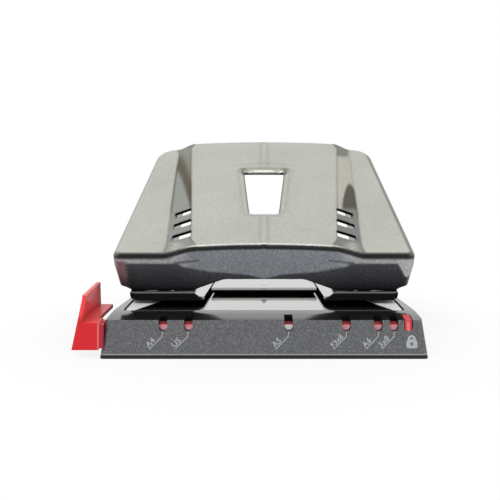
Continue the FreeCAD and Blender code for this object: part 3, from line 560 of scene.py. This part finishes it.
def dressed(name, node, width, slot, *materials, pick=None):
    """A copy of a CAD node, with its edges rounded by width, which stands for that node."""
    source = frame["nodes"][node]
    mesh = source.data.copy()
    mesh.materials.clear()
    mesh.name = name
    bm = bmesh.new()
    bm.from_mesh(mesh)
    bmesh.ops.remove_doubles(bm, verts=bm.verts, dist=0.002 * MM)
    bmesh.ops.dissolve_limit(bm, angle_limit=math.radians(1.0), verts=bm.verts, edges=bm.edges)
    bm.to_mesh(mesh)
    bm.free()
    piece = link(name, mesh)
    for material in materials:
        mesh.materials.append(material)
    if pick is not None:
        for face in mesh.polygons:
            face.material_index = pick(face.center / MM, face.normal)
    if width:
        round_edges(piece, width)
    smooth_by_angle(piece.data, EDGE_ANGLE)
    weigh = piece.modifiers.new("normals", "WEIGHTED_NORMAL")
    weigh.keep_sharp = True
    weigh.weight = 60
    bake_modifiers(piece)
    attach(piece, source["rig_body"])
    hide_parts(node)
    return piece


def dress_cad(node, material):
    """Gives a carried-over CAD node its finish."""
    data = frame["nodes"][node].data
    data.materials.clear()
    data.materials.append(material)


# ---- curves and outlines -------------------------------------
def clamp(value):
    return min(max(value, 0.0), 1.0)


def ease(t):
    t = clamp(t)
    return t * t * (3 - 2 * t)


def peak(value, at, width):
    """1 at a value, falling straight to 0 on both sides."""
    return clamp(1 - abs(value - at) / width)


def span_on(value, low, high, soft):
    """1 between two values, with soft ends."""
    return ease((value - low) / soft + 0.5) * ease((high - value) / soft + 0.5)


def soft_step(t, rounding=SLOPE_ROUNDING):
    """A straight climb from 0 to 1 whose two bends are rounded."""
    def bend(u):
        if u <= -rounding:
            return 0.0
        if u >= rounding:
            return u
        return (u + rounding) ** 2 / (4 * rounding)
    return clamp(bend(t) - bend(t - 1))


def along_line(value, points):
    """Height at a value of a line through points, level beyond its ends."""
    for (start, low), (end, high) in zip(points, points[1:]):
        if value < end:
            return low + (high - low) * clamp((value - start) / (end - start))
    return points[-1][1]


def inside(point, loop):
    """Whether a point lies inside a closed loop of points."""
    hit = False
    for i in range(len(loop)):
        a, b = loop[i], loop[i - 1]
        if (a[1] > point[1]) != (b[1] > point[1]):
            if point[0] < (b[0] - a[0]) * (point[1] - a[1]) / (b[1] - a[1]) + a[0]:
                hit = not hit
    return hit


def distance_to(point, loop):
    best = math.inf
    for i in range(len(loop)):
        a, b = loop[i - 1], loop[i]
        dx, dy = b[0] - a[0], b[1] - a[1]
        length = dx * dx + dy * dy
        t = 0.0
        if length > 0:
            t = clamp(((point[0] - a[0]) * dx + (point[1] - a[1]) * dy) / length)
        best = min(best, math.hypot(point[0] - a[0] - t * dx, point[1] - a[1] - t * dy))
    return best


def rounded_polygon(corners, radii, step):
    """Points and outward normals round a polygon whose corners are arcs, anticlockwise."""
    samples = []
    count = len(corners)
    arcs = []
    for i in range(count):
        before, at, after = (Vector(corners[(i + k) % count]) for k in (-1, 0, 1))
        come = (at - before).normalized()
        leave = (after - at).normalized()
        turn = come.angle(leave)
        reach = radii[i] * math.tan(turn / 2)
        start = at - come * reach
        outward = Vector((come.y, -come.x))
        arcs.append((start, at + leave * reach, start - outward * radii[i], outward, turn, radii[i]))
    for i, (start, end, centre, outward, turn, radius) in enumerate(arcs):
        steps = max(3, math.ceil(radius * turn / step))
        for k in range(steps + 1):
            angle = turn * k / steps
            normal = Vector((
                outward.x * math.cos(angle) - outward.y * math.sin(angle),
                outward.x * math.sin(angle) + outward.y * math.cos(angle),
            ))
            samples.append((centre + normal * radius, normal))
        gap = arcs[(i + 1) % count][0] - end
        pieces = max(1, math.ceil(gap.length / step))
        normal = Vector((gap.y, -gap.x)).normalized()
        for k in range(1, pieces):
            samples.append((end + gap * (k / pieces), normal))
    return samples


# ---- shape of the handle cover -------------------------------
def lever_point(x, s, n):
    """A place in metres, from the cover's own coordinates."""
    y = COVER_FRONT_Y + s * math.cos(LEVER_TILT) - n * math.sin(LEVER_TILT)
    z = COVER_FRONT_Z + s * math.sin(LEVER_TILT) + n * math.cos(LEVER_TILT)
    return Vector((x, y, z)) * MM


def between(front, rear, s):
    return front + (rear - front) * s / COVER_LENGTH


def flare(s):
    """1 at the front and rear edges, where the ramps spread and soften, 0 between."""
    return 1 - ease(s / FLARE_LENGTH) * ease((COVER_LENGTH - s) / FLARE_LENGTH)


def ridge_half(s):
    return between(RIDGE_FRONT_HALF, RIDGE_REAR_HALF, s) - FLARE_RIDGE * flare(s)


def ramp_half(s):
    return between(RAMP_FRONT_HALF, RAMP_REAR_HALF, s) + FLARE_RAMP * flare(s)


def up_ramp(x, s):
    """0 at the foot of the ramp, 1 at the ridge, and beyond both."""
    return (ramp_half(s) - abs(x)) / (ramp_half(s) - ridge_half(s))


def ramp_share(x, s):
    """0 on the side panel, 1 on the raised centre panel."""
    t = up_ramp(x, s)
    return soft_step(t) * (1 - flare(s)) + ease(t) * flare(s)


def bend_radius(normal):
    """The bend is wide along the sides and tighter along the front and rear edges."""
    ahead = FRONT_BEND_R if normal.y < 0 else REAR_BEND_R
    return SIDE_BEND_R * normal.x ** 2 + ahead * normal.y ** 2


def tapered(front_half, rear_half, front_s, rear_s):
    return [(-front_half, front_s), (front_half, front_s), (rear_half, rear_s), (-rear_half, rear_s)]


def cover_outline():
    corners = tapered(COVER_FRONT_HALF, COVER_REAR_HALF, 0, COVER_LENGTH)
    radii = [FRONT_CORNER_R, FRONT_CORNER_R, REAR_CORNER_R, REAR_CORNER_R]
    return rounded_polygon(corners, radii, OUTLINE_STEP)


def window_outline(grow, step):
    corners = tapered(WINDOW_FRONT_HALF, WINDOW_REAR_HALF, WINDOW_FRONT_S, WINDOW_REAR_S)
    return [point + normal * grow for point, normal in rounded_polygon(corners, [WINDOW_CORNER_R] * 4, step)]


def vent_outlines():
    vents = []
    for i in range(VENT_COUNT):
        s = VENT_FIRST_S + VENT_PITCH * i
        half = VENT_WIDTH / 2
        inner = between(RIDGE_FRONT_HALF, RIDGE_REAR_HALF, s)
        outer = between(RAMP_FRONT_HALF, RAMP_REAR_HALF, s) - VENT_OUTER_MARGIN
        right = [
            (inner, s + VENT_SLANT / 2 - half), (outer, s - VENT_SLANT / 2 - half),
            (outer, s - VENT_SLANT / 2 + half), (inner, s + VENT_SLANT / 2 + half),
        ]
        left = [(-x, y) for x, y in reversed(right)]
        for corners in (left, right):
            vents.append([p for p, _ in rounded_polygon(corners, [VENT_CORNER_R] * 4, RIM_STEP)])
    return vents


WINDOW_LOOP = window_outline(0.0, WINDOW_STEP)
VENT_LOOPS = vent_outlines()


def window_gap(x, s):
    """Distance to the window's outline, or endless away from it."""
    if abs(x) > WINDOW_REAR_HALF + WINDOW_FIELD:
        return math.inf
    if not WINDOW_FRONT_S - WINDOW_FIELD < s < WINDOW_REAR_S + WINDOW_FIELD:
        return math.inf
    return distance_to((x, s), WINDOW_LOOP)


def vents_near(x, s):
    """The vents that a place on the cover can touch."""
    in_field = VENT_FIELD_HALF[0] < abs(x) < VENT_FIELD_HALF[1] and s < VENT_FIELD_S
    return [vent for vent in VENT_LOOPS if vent[0][0] * x > 0] if in_field else []


def cover_height(x, s):
    """Height of the cover's upper face over its own plane."""
    n = RIDGE_RISE * ramp_share(x, s)
    ridge = ridge_half(s)
    if abs(x) < ridge:
        n += CROWN * (1 - (x / ridge) ** 2)
    gap = window_gap(x, s)
    if gap < LIP_WIDTH:
        n -= LIP_DEPTH * (1 - gap / LIP_WIDTH) ** 2
    behind = s - WINDOW_REAR_S
    if 0 <= behind < DENT_LENGTH:
        width = ease((WINDOW_REAR_HALF + 3.5 - abs(x)) / 4.5)
        n -= DENT_DEPTH * width * ease(1 - behind / DENT_LENGTH)
    rib = ease((RIB_HALF - abs(x)) / RIB_EDGE + 0.5)
    return n + RIB_RISE * rib * ease((gap - 2.2) / 1.5)


def skirt_depth(x, s):
    """How far the wall hangs below the cover's plane at a place on its outline."""
    step = soft_step((abs(x) - SKIRT_MID_HALF) / (SKIRT_STEP_HALF - SKIRT_MID_HALF))
    middle = SKIRT_MID_DEPTH + (SKIRT_DEPTH - SKIRT_MID_DEPTH) * step
    corner = COVER_FRONT_HALF - FRONT_CORNER_R - 4.0
    front = middle + (FLANGE_FRONT - middle) * ease((abs(x) - corner) / 4.0)
    side = FLANGE_FRONT + (FLANGE_REAR - FLANGE_FRONT) * clamp(s / (COVER_LENGTH - REAR_CORNER_R))
    return front + (side - front) * ease(s / FRONT_CORNER_R)


# ---- tint of the handle cover: painted reflections and shade ---
def shade(*levels):
    """Linear colour of one grey level or of three, each from 0 to 255."""
    values = levels * 3 if len(levels) == 1 else levels
    return Vector([((v / 255 + 0.055) / 1.055) ** 2.4 for v in values])


def layered(colour, *layers):
    """A colour under layers, each given as its colour and its share."""
    for shown, share in layers:
        colour = colour.lerp(shown, share)
    return colour


# The lacquer's own colour on top; painted shade for the creases and for the side walls.
TOP_TINT = shade(189, 190, 181)
CREASE_TINT = shade(52, 50, 42)
FLANK_TINT = shade(118, 119, 112)
# The front wall faces away from the lights, so its tint is raised.
SKIRT_GAIN = 1.75
# How deep the light lens, a painted reflection on the front wall, reaches, by distance from the middle.
LENS_EDGE = ((0, 10.64), (6, 8.84), (20.4, 7.4), (30, 5.2), (32, 3.8))
# A dark wedge of painted reflection crosses the lens between these distances from the middle.
WEDGE_FROM, WEDGE_TO = 23.9, 33.5


def left_ramp(t, reach):
    """A painted reflection on the left ramp: a brown band across it, with a light petal ahead of it."""
    band, petal = shade(82, 76, 58), shade(148, 150, 144)
    behind, rear_edge = shade(138, 138, 125), shade(122, 123, 111)
    middle, half = 73 - 8 * t - 22 * t * t, 3.5
    if reach > middle:
        behind = behind.lerp(rear_edge, ease((reach - 84) / 6))
        return band.lerp(behind, ease((reach - middle - half) / (9 + 17 * t)))
    return band.lerp(petal, ease((middle - half - reach) / (6 + 7 * t)))


def right_ramp(t, reach):
    """A painted reflection on the right ramp: a beige band with a dark petal ahead of it and a dark patch at
    the rear edge.
    """
    petal_end = 54 - 70 * (t - 0.25) ** 2
    petal = ease((petal_end - reach) / 4 + 0.5) * ease((0.86 - t) / 0.2)
    return layered(
        shade(184, 182, 169), (shade(73, 71, 60), petal),
        (shade(130, 131, 126), ease((33 - reach) / 4 + 0.5)),
        (shade(116, 117, 107), ease((reach - 79.5) / 4 + 0.5) * ease(t / 0.2)))


def crease_strength(x, s, reach):
    """How strongly painted shade darkens the creases at the foot and the ridge of a ramp."""
    foot, ridge = peak(abs(x), ramp_half(s), 0.75), peak(abs(x), ridge_half(s), 0.75)
    if x < 0:
        foot *= 0.30 + 0.45 * span_on(reach, 30, 72, 6)
        ridge *= 0.45 + 0.35 * span_on(reach, 30, 56, 6)
    else:
        foot *= 0.20 + 0.40 * span_on(reach, 26, 48, 6)
        ridge *= 0.35
    return max(foot, ridge) * ease(s / 4) * ease((86 - s) / 6)


def opening_tint(x, s, colour):
    """Paints shade on the edges of the window and the vents, with painted highlights on the window's rear
    lip.
    """
    gap = window_gap(x, s)
    rear = ease((s - WINDOW_REAR_S + 1.2) / 1.0)
    glint = rear * span_on(gap, 0.9, 1.5, 0.3) * ease((5 - abs(x)) / 2)
    tick = peak(abs(x), WINDOW_REAR_HALF + 0.7, 0.9)
    tick *= span_on(s, WINDOW_REAR_S - 3, WINDOW_REAR_S + 2.6, 1)
    colour = layered(
        colour, (shade(118, 119, 108), (0.35 + 0.5 * rear) * peak(gap, 2.6, 0.8)),
        (shade(160, 161, 150), 0.8 * rear * span_on(gap, 0.4, 2.2, 0.4)), (shade(236, 237, 232), 0.8 * glint),
        (shade(14), (0.75 + 0.25 * rear) * ease((0.65 - gap) / 0.35)), (shade(40), 0.8 * tick))
    # painted shade on the vents' rear rims
    for vent in vents_near(x, s):
        if distance_to((x, s), vent) < 0.12:
            rear_rim = s > sum(p[1] for p in vent) / len(vent)
            colour = colour.lerp(shade(10), 0.97 if rear_rim else 0.25)
    return colour


def top_tint(x, s):
    """Colour of the cover's upper face, with painted shade and reflections over its dent, rib, ramps, creases
    and openings.
    """
    t = up_ramp(x, s)
    reach = s + 1.7 * RIDGE_RISE * ramp_share(x, s)
    colour = TOP_TINT.copy()
    # painted shade in the dent behind the window
    arc = WINDOW_REAR_S + 6.7 - 0.012 * x * x
    colour *= 1 - 0.13 * ease((15 - abs(x)) / 4) * peak(s, arc, 1.6)
    # painted shade along the rib's edges
    if not WINDOW_FRONT_S - 3 < s < WINDOW_REAR_S + 3:
        colour *= 1 - 0.16 * peak(abs(x), RIB_HALF + RIB_EDGE, 0.5)
    ramp = left_ramp(t, reach) if x < 0 else right_ramp(t, reach)
    # a painted highlight near the front of each ramp
    ramp = ramp.lerp(shade(192, 192, 186), 0.75 * span_on(reach, 2, 8.5, 3) * peak(t, 0.4, 0.35))
    colour = colour.lerp(ramp, ease((t + 0.03) / 0.08) * ease((1.04 - t) / 0.08))
    return opening_tint(x, s, colour.lerp(CREASE_TINT, crease_strength(x, s, reach)))


def skirt_tint(x, fall):
    """Colour of the front wall, a painted reflection: a lighter lens in the middle over a dark lower zone."""
    ax = abs(x)
    edge = along_line(ax, LENS_EDGE)
    lens = shade(113, 116, 121).lerp(shade(142, 143, 145), ease((ax - 26) / 6))
    lens = shade(96, 98, 100).lerp(lens, ease((fall + 3.2 * ramp_share(x, 0) - 0.2) / 1.2))
    low = shade(59, 60, 63).lerp(shade(15, 16, 19), clamp((fall - edge) / (SKIRT_DEPTH - edge)))
    colour = lens.lerp(low, ease((fall - edge) / 0.9 + 0.5))
    if WEDGE_FROM < ax < WEDGE_TO:
        along = (ax - WEDGE_FROM) / (WEDGE_TO - WEDGE_FROM)
        away = abs(fall - 2.4 - 1.4 * along)
        colour = colour.lerp(shade(66, 67, 70), 0.9 * clamp(1.3 - away / (0.25 + 0.55 * along)))
    # painted reflections at the wall's ends: grey at the right, red from the guide's stop at the left
    grey_end = ease((x - 48.9 - 0.55 * (fall - 3.5)) / 0.6) * ease((10.6 - fall) / 1.2) * ease(fall - 1)
    red_end = ease((-50 - x) / 2) * ease(fall - 2.4) * (1 - 0.75 * ease((fall - 7) / 6))
    return layered(colour, (shade(150, 150, 152), grey_end), (shade(107, 84, 90), red_end))


def split_tint(normal, front, side, top):
    """Weighs the colours of a front, a side and a rear edge by where the normal points."""
    ahead, aside = max(-normal.y, 0.0) ** 2, normal.x ** 2
    return front * ahead + side * aside + top * max(1 - ahead - aside, 0.0), ahead


def bend_tint(x, s, normal, along):
    """Colour and mattness of the rolled bend, along it from 0 to 1, with a painted highlight and a painted
    dark reflection across it.
    """
    top = top_tint(x, s)
    centre = ease((31 - abs(x)) / 6)
    front = layered(
        top, (shade(110, 110, 104), ease(along / 0.12 - 0.1) * (1 - centre)),
        (shade(246, 246, 243), centre * peak(along, 0.12, 0.11)),
        (skirt_tint(x, 0.3) * SKIRT_GAIN, ease((along - 0.28) / 0.3)),
        (shade(30, 30, 29), 0.96 * span_on(along, 0.30, 0.90, 0.2)))
    start = 0.0 if x > 0 else 0.3
    side = layered(top, (shade(126, 127, 118), ease((along - start) / 0.2)),
                   (shade(44, 44, 40), ease((along - 0.6) / 0.2)))
    colour, ahead = split_tint(normal, front, side, top)
    return (*colour, ahead * ease(along / 0.25))


def wall_tint(x, s, normal, fall):
    """Colour and mattness of the wall, painted reflection and shade by how far below the cover's plane it is.
    """
    colour, ahead = split_tint(normal, skirt_tint(x, fall) * SKIRT_GAIN, FLANK_TINT, top_tint(x, s))
    return (*colour, ahead)


# ---- mesh of the handle cover --------------------------------
def has_room(point, loop):
    """Whether a grid point is inside the cover and clear of its outline and vents."""
    x, s = point
    if not inside(point, loop):
        return False
    near_edge = min(s, COVER_LENGTH - s, COVER_FRONT_HALF - abs(x) + 9) < 14
    if near_edge and distance_to(point, loop) < GRID_GAP:
        return False
    return not any(inside(point, vent) or distance_to(point, vent) < GRID_GAP for vent in vents_near(x, s))


def cover_grid(loop):
    """Points inside the cover's upper face, on lines that follow the ridges and ramps."""
    margin, near = CREASE_MARGIN, CREASE_HALF
    lines = []
    for s in [0.5 * i for i in range(4, 21)] + [10 + 0.85 * i for i in range(1, 92)]:
        if s > COVER_LENGTH - REAR_BEND_R - 0.5:
            continue
        ridge, ramp = ridge_half(s), ramp_half(s)
        edge = between(COVER_FRONT_HALF, COVER_REAR_HALF, s) - SIDE_BEND_R
        xs = [0.0, 0.45, 0.75, margin]
        xs += [margin + (ridge - 2 * margin) * k / 14 for k in range(1, 15)]
        xs += [ridge + step for step in CREASE_LINES] + [ridge + margin]
        xs += [ridge + margin + (ramp - ridge - 2 * margin) * k / 11 for k in range(1, 11)]
        xs += [ramp + step for step in CREASE_LINES]
        xs += [ramp + near + (edge - ramp - 2 * near) * k / 8 for k in range(1, 9)]
        for x in xs:
            lines += [(side * x, s) for side in ((-1, 1) if x else (1,))]
    clear = [p for p in lines if window_gap(*p) >= RIM_WIDTH and not inside(p, WINDOW_LOOP)]
    rings = [tuple(p) for grow in RIM_RINGS for p in window_outline(grow, RIM_STEP)]
    return [p for p in clear + rings if has_room(p, loop)]


def triangulated(loop, holes, grid):
    """Vertices and faces of a flat outline with holes, through the points of a grid."""
    points, edges = [], []
    for ring in [loop] + holes:
        start, count = len(points), len(ring)
        points += [Vector(p) for p in ring]
        edges += [(start + i, start + (i + 1) % count) for i in range(count)]
    points += [Vector(p) for p in grid]
    verts, _, faces, _, _, _ = delaunay_2d_cdt(points, edges, [], 0, 1e-5)
    filled = []
    for face in faces:
        centre = sum((verts[i] for i in face), Vector((0, 0))) / len(face)
        if inside(centre, loop) and not any(inside(centre, hole) for hole in holes):
            filled.append(face)
    return verts, filled


def bend_rows(outline, loop, heights):
    """Rows of the rolled bend, each point as x, s, n and its tint."""
    for k in range(1, BEND_STEPS + 1):
        angle = math.pi / 2 * k / BEND_STEPS
        row = []
        for (p, normal), base, n in zip(outline, loop, heights):
            radius = bend_radius(normal)
            at = base + normal * radius * math.sin(angle)
            drop = radius * (1 - math.cos(angle))
            row.append((at.x, at.y, n - drop, bend_tint(p.x, p.y, normal, k / BEND_STEPS)))
        yield row


def wall_rows(outline, heights):
    """Rows of the wall under the bend, which leans in at the sides."""
    for k in range(1, WALL_STEPS + 1):
        row = []
        for (p, normal), n in zip(outline, heights):
            first = n - bend_radius(normal)
            level = first + (-skirt_depth(p.x, p.y) - first) * k / WALL_STEPS
            lean = -SKIRT_LEAN * max(-level - SKIRT_UPRIGHT, 0) * abs(normal.x)
            at = p + normal * lean
            row.append((at.x, at.y, level, wall_tint(p.x, p.y, normal, -level)))
        yield row


def handle_cover():
    """The pressed cover as one sheet: its top, the rolled bend round it and the walls."""
    outline = cover_outline()
    loop = [p - normal * bend_radius(normal) for p, normal in outline]
    heights = [cover_height(p.x, p.y) for p in loop]
    verts, faces = triangulated(loop, [WINDOW_LOOP] + VENT_LOOPS, cover_grid(loop))
    bm = bmesh.new()
    # The tint holds the cover's painted reflections, highlights and shade, and its mattness in alpha.
    tints = bm.verts.layers.float_color.new("tint")

    def add(x, s, n, tint):
        vert = bm.verts.new(lever_point(x, s, n))
        vert[tints] = tint
        return vert

    top = [add(p.x, p.y, cover_height(p.x, p.y), (*top_tint(p.x, p.y), 0.0)) for p in verts]
    for face in faces:
        bm.faces.new([top[i] for i in face])
    placed = {(round(p.x, 3), round(p.y, 3)): vert for p, vert in zip(verts, top)}
    rings = [[placed[(round(p.x, 3), round(p.y, 3))] for p in loop]]
    for row in [*bend_rows(outline, loop, heights), *wall_rows(outline, heights)]:
        rings.append([add(*point) for point in row])
    for upper, lower in zip(rings, rings[1:]):
        for i in range(len(upper)):
            bm.faces.new([upper[i - 1], lower[i - 1], lower[i], upper[i]])
    bmesh.ops.delete(bm, geom=[v for v in bm.verts if not v.link_faces], context="VERTS")
    bmesh.ops.recalc_face_normals(bm, faces=bm.faces)
    mesh = mesh_from(bm, "cover_shell")
    if mesh.polygons[0].normal.z < 0:
        mesh.flip_normals()
    piece = link("cover_shell", mesh)
    sheet = piece.modifiers.new("sheet", "SOLIDIFY")
    sheet.thickness = COVER_T * MM
    sheet.offset = -1.0
    sheet.use_even_offset = False
    bake_modifiers(piece)
    smooth_by_angle(piece.data, COVER_EDGE_ANGLE)
    piece.data.materials.append(satin_silver())
    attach(piece, "handle")
    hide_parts("handle_cover")


# ---- printed marks -------------------------------------------
def front_point(x, z):
    """A place on the housing's leaning front face, just proud of it."""
    normal = Vector((0, -1, FRONT_LEAN)).normalized()
    return (Vector((x, FRONT_Y + FRONT_LEAN * z, z)) + normal * MARK_LIFT) * MM


def flat_mark(name, loops, place, material):
    """Thin printed shapes: each loop is a closed outline, laid on a surface by place(u, v)."""
    bm = bmesh.new()
    for loop in loops:
        bm.faces.new([bm.verts.new(place(u, v)) for u, v in loop])
    piece = link(name, mesh_from(bm, name))
    ink = piece.modifiers.new("ink", "SOLIDIFY")
    ink.thickness = INK_T * MM
    ink.offset = 0.0
    bake_modifiers(piece)
    piece.data.materials.append(material)
    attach(piece, "base")


def stroke(start, end, width):
    a, b = Vector(start), Vector(end)
    side = (b - a).normalized().orthogonal() * width / 2
    return [tuple(a + side), tuple(a - side), tuple(b - side), tuple(b + side)]


def arch(centre, inner, outer, steps):
    """Outlines of the quads that make a flat half ring."""
    quads = []
    for k in range(steps):
        a, b = (math.pi * i / steps for i in (k, k + 1))
        quads.append([
            (centre[0] + radius * math.cos(angle), centre[1] + radius * math.sin(angle))
            for radius, angle in ((inner, a), (outer, a), (outer, b), (inner, b))
        ])
    return quads


def letters(name, text):
    """A flat mesh of a few letters, in millimetres."""
    curve = bpy.data.curves.new(name, "FONT")
    curve.body = text
    curve.size = TEXT_SIZE if len(text) < 4 else LONG_TEXT_SIZE
    curve.extrude = 0.01
    curve.space_character = 1.06
    curve.offset = 0.03
    curve.resolution_u = 3
    words = bpy.data.objects.new(name, curve)
    bpy.context.scene.collection.objects.link(words)
    bpy.context.view_layer.update()
    mesh = bpy.data.meshes.new_from_object(words)
    bpy.data.objects.remove(words)
    mesh.materials.clear()
    return mesh


def size_mark(text, x, material):
    """A leader from a window down to its slanted size mark."""
    bend = (x - 0.2, LEADER_BEND_Z)
    foot = (bend[0] - LEADER_REACH, bend[1] - LEADER_REACH * LEADER_SLOPE)
    name = "mark_" + text.lower()
    flat_mark(name + "_leader", [
        stroke((x, WINDOW_FOOT_Z - 0.2), bend, LEADER_WIDTH), stroke(bend, foot, LEADER_WIDTH),
    ], front_point, material)
    turn = Matrix.Rotation(math.atan2(LEADER_SLOPE, 1.0), 2)
    along = Vector((1, LEADER_SLOPE)).normalized()
    raised = Vector((-along.y, along.x)) * TEXT_LIFT
    start = Vector(foot) + along * 0.15 + raised
    mesh = letters(name, text)
    for vert in mesh.vertices:
        flat = turn @ Vector((vert.co.x, vert.co.y)) + start
        vert.co = front_point(flat.x, flat.y) + Vector((0, -vert.co.z * MM, 0))
    mesh.materials.append(material)
    piece = link(name, mesh)
    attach(piece, "base")


def padlock_mark(material):
    """A plain padlock beside the window where the guide is parked."""
    x, low, top, half = PADLOCK_X, PADLOCK_FOOT_Z, PADLOCK_TOP_Z, PADLOCK_HALF
    corners = tapered(half, half - PADLOCK_TAPER, low, top)
    corners = [(x + across, up) for across, up in corners]
    outer = [tuple(p) for p, _ in rounded_polygon(corners, [PADLOCK_CORNER_R] * 4, 0.4)]
    eye = Vector((x, (low + top) / 2))
    body = []
    for a, b in zip(outer, outer[1:] + outer[:1]):
        keyhole = [tuple(eye + (Vector(p) - eye).normalized() * KEYHOLE_R) for p in (b, a)]
        body.append([a, b] + keyhole)
    shackle = arch((x, top), SHACKLE_INNER_R, SHACKLE_OUTER_R, 14)
    flat_mark("mark_padlock", body + shackle, front_point, material)


def printed_marks():
    grey = printed_grey()
    for text, width in LABELS:
        size_mark(text, TONGUE_X - (width - PARKED_WIDTH) / 2, grey)
    padlock_mark(grey)

    def on_table(x, y):
        return Vector((x, y, TABLE_Z + 0.015)) * MM

    def on_throat(x, y):
        return Vector((x, y, THROAT_Z + 0.01)) * MM

    inner, outer, base, tip = POINTER_INNER, POINTER_OUTER, POINTER_BASE_Y, POINTER_TIP_Y
    flat_mark("centre_pointer", [
        [(-outer, base), (-inner, base), (-inner, tip)], [(inner, base), (outer, base), (inner, tip)],
    ], on_table, printed_black())
    flat_mark("centre_notch", [
        stroke((-NOTCH_HALF, NOTCH_REAR_Y), (0, NOTCH_TIP_Y), NOTCH_LINE),
        stroke((0, NOTCH_TIP_Y), (NOTCH_HALF, NOTCH_REAR_Y), NOTCH_LINE),
    ], on_throat, faint_mark())


# ---- stage ---------------------------------------------------
def studio_world():
    world = bpy.data.worlds.new("studio")
    bpy.context.scene.world = world
    world.use_nodes = True
    sky = Nodes(world.node_tree, "ShaderNodeOutputWorld")
    soft = sky.add("ShaderNodeBackground", {"Color": as_rgba(1.0), "Strength": WORLD_STRENGTH})
    white = sky.add("ShaderNodeBackground", {"Color": as_rgba(1.0), "Strength": 1.0})
    sky.blend(sky.background_ray(), soft, white)


def pale_floor():
    """A pale floor that fades to white away from the object."""
    sh = Shader("pale_floor")
    paper = sh.add("ShaderNodeBsdfDiffuse", {"Color": as_rgba(FLOOR_GREY)})
    glow = sh.add("ShaderNodeEmission", {"Color": as_rgba(1.0), "Strength": 1.0})
    coords = sh.add("ShaderNodeTexCoord")
    distance = sh.add("ShaderNodeVectorMath", {0: coords.outputs["Object"]}, operation="LENGTH")
    fade = sh.add("ShaderNodeMapRange", {
        "Value": distance.outputs["Value"],
        "From Min": FLOOR_GLOW_RADII[0], "From Max": FLOOR_GLOW_RADII[1],
        "To Min": FLOOR_GLOW_SHARES[0], "To Max": FLOOR_GLOW_SHARES[1],
    }, interpolation_type="SMOOTHSTEP")
    sh.blend(sh.times(sh.background_ray(), fade.outputs["Result"]), paper, glow)
    return sh.material


def stage():
    studio_world()
    bm = bmesh.new()
    bmesh.ops.create_grid(bm, x_segments=2, y_segments=2, size=FLOOR_HALF)
    mesh = mesh_from(bm, "floor")
    mesh.materials.append(pale_floor())
    link("floor", mesh)


def area_light(name, place, power):
    light = bpy.data.lights.new(name, "AREA")
    light.shape = "SQUARE"
    light.size = LIGHT_SIZE
    light.energy = power
    lamp = bpy.data.objects.new(name, light)
    bpy.context.scene.collection.objects.link(lamp)
    lamp.location = place
    aim = Vector(LIGHT_TARGET) - Vector(place)
    lamp.rotation_euler = aim.to_track_quat("-Z", "Y").to_euler()


def lights_and_camera():
    for light in LIGHTS:
        area_light(*light)
    camera_data = bpy.data.cameras.new("camera")
    camera_data.sensor_width = 36.0
    camera_data.lens = CAMERA_LENS
    camera_data.shift_x = CAMERA_SHIFT
    camera_data.clip_start = 0.01
    camera = bpy.data.objects.new("camera", camera_data)
    bpy.context.scene.collection.objects.link(camera)
    camera.location = (0, CAMERA_Y, CAMERA_Z)
    camera.rotation_euler = (math.pi / 2 - CAMERA_PITCH, 0, 0)
    bpy.context.scene.camera = camera
    bpy.context.scene.view_settings.view_transform = "Standard"


# ---- the object ----------------------------------------------
def return_spring(side, material):
    """The spring round a punch pin, dressed with a mesh of its own."""
    spring = dressed("spring_" + side, "pin_spring_" + side, 0, "bright_steel", material)
    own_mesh(spring)


def housing_zone(centre, normal):
    """0 for the textured faces, 1 for the glossy top, 2 for the insides of the windows."""
    if normal.z > 0.7 and centre.z > 11:
        return 1
    behind = centre.y - (FRONT_Y + FRONT_LEAN * centre.z)
    return 2 if behind > 0.3 and centre.y < -37.0 and centre.z > 3 and abs(centre.x) < 54.5 else 0


def build():
    textured, gloss, recess = textured_plastic(), gloss_plastic(), recess_black()
    tray, red, cap = tray_plastic(), red_plastic(), jaw_plastic()
    steel, jaw, bright, black = polished_steel(), jaw_steel(), bright_steel(), black_steel()
    handle_cover()
    dressed("housing", "base_shell", 0.35, "black_plastic", textured, gloss, recess, pick=housing_zone)
    dressed("guide_slide", "paper_guide", 0.3, "red_plastic", red)
    dressed("guide_catch", "guide_tongue", 0.25, "red_plastic", red)
    dressed("waste_tray", "chip_tray", 0.3, "tray_plastic", tray)
    dressed("paper_table", "die_plate", 0.15, "polished_steel", steel)
    dressed("throat_sheet", "throat_plate", 0.15, "polished_steel", steel)
    dressed("rear_stop", "paper_stop", 0.2, "tray_plastic", tray)
    dressed("lever_bridge", "lever_tie", 0.2, "black_steel", black)
    for side in ("left", "right"):
        dressed("jaw_sheet_" + side, "jaw_plate_" + side, 0.15, "polished_steel", jaw)
        dressed("jaw_cap_" + side, "jaw_cover_" + side, 0.3, "black_plastic", cap)
        dressed("bracket_" + side, "punch_bracket_" + side, 0.2, "black_steel", black)
        dressed("arm_" + side, "lever_arm_" + side, 0.2, "black_steel", black)
        return_spring(side, bright)
        for node in ("pin_bush_", "punch_pin_", "press_pin_"):
            dress_cad(node + side, bright)
    for node in ("plate_screws", "hinge_axle", "axle_clips", "lever_rivets"):
        dress_cad(node, bright)
    printed_marks()


lights_and_camera()
build()
stage()
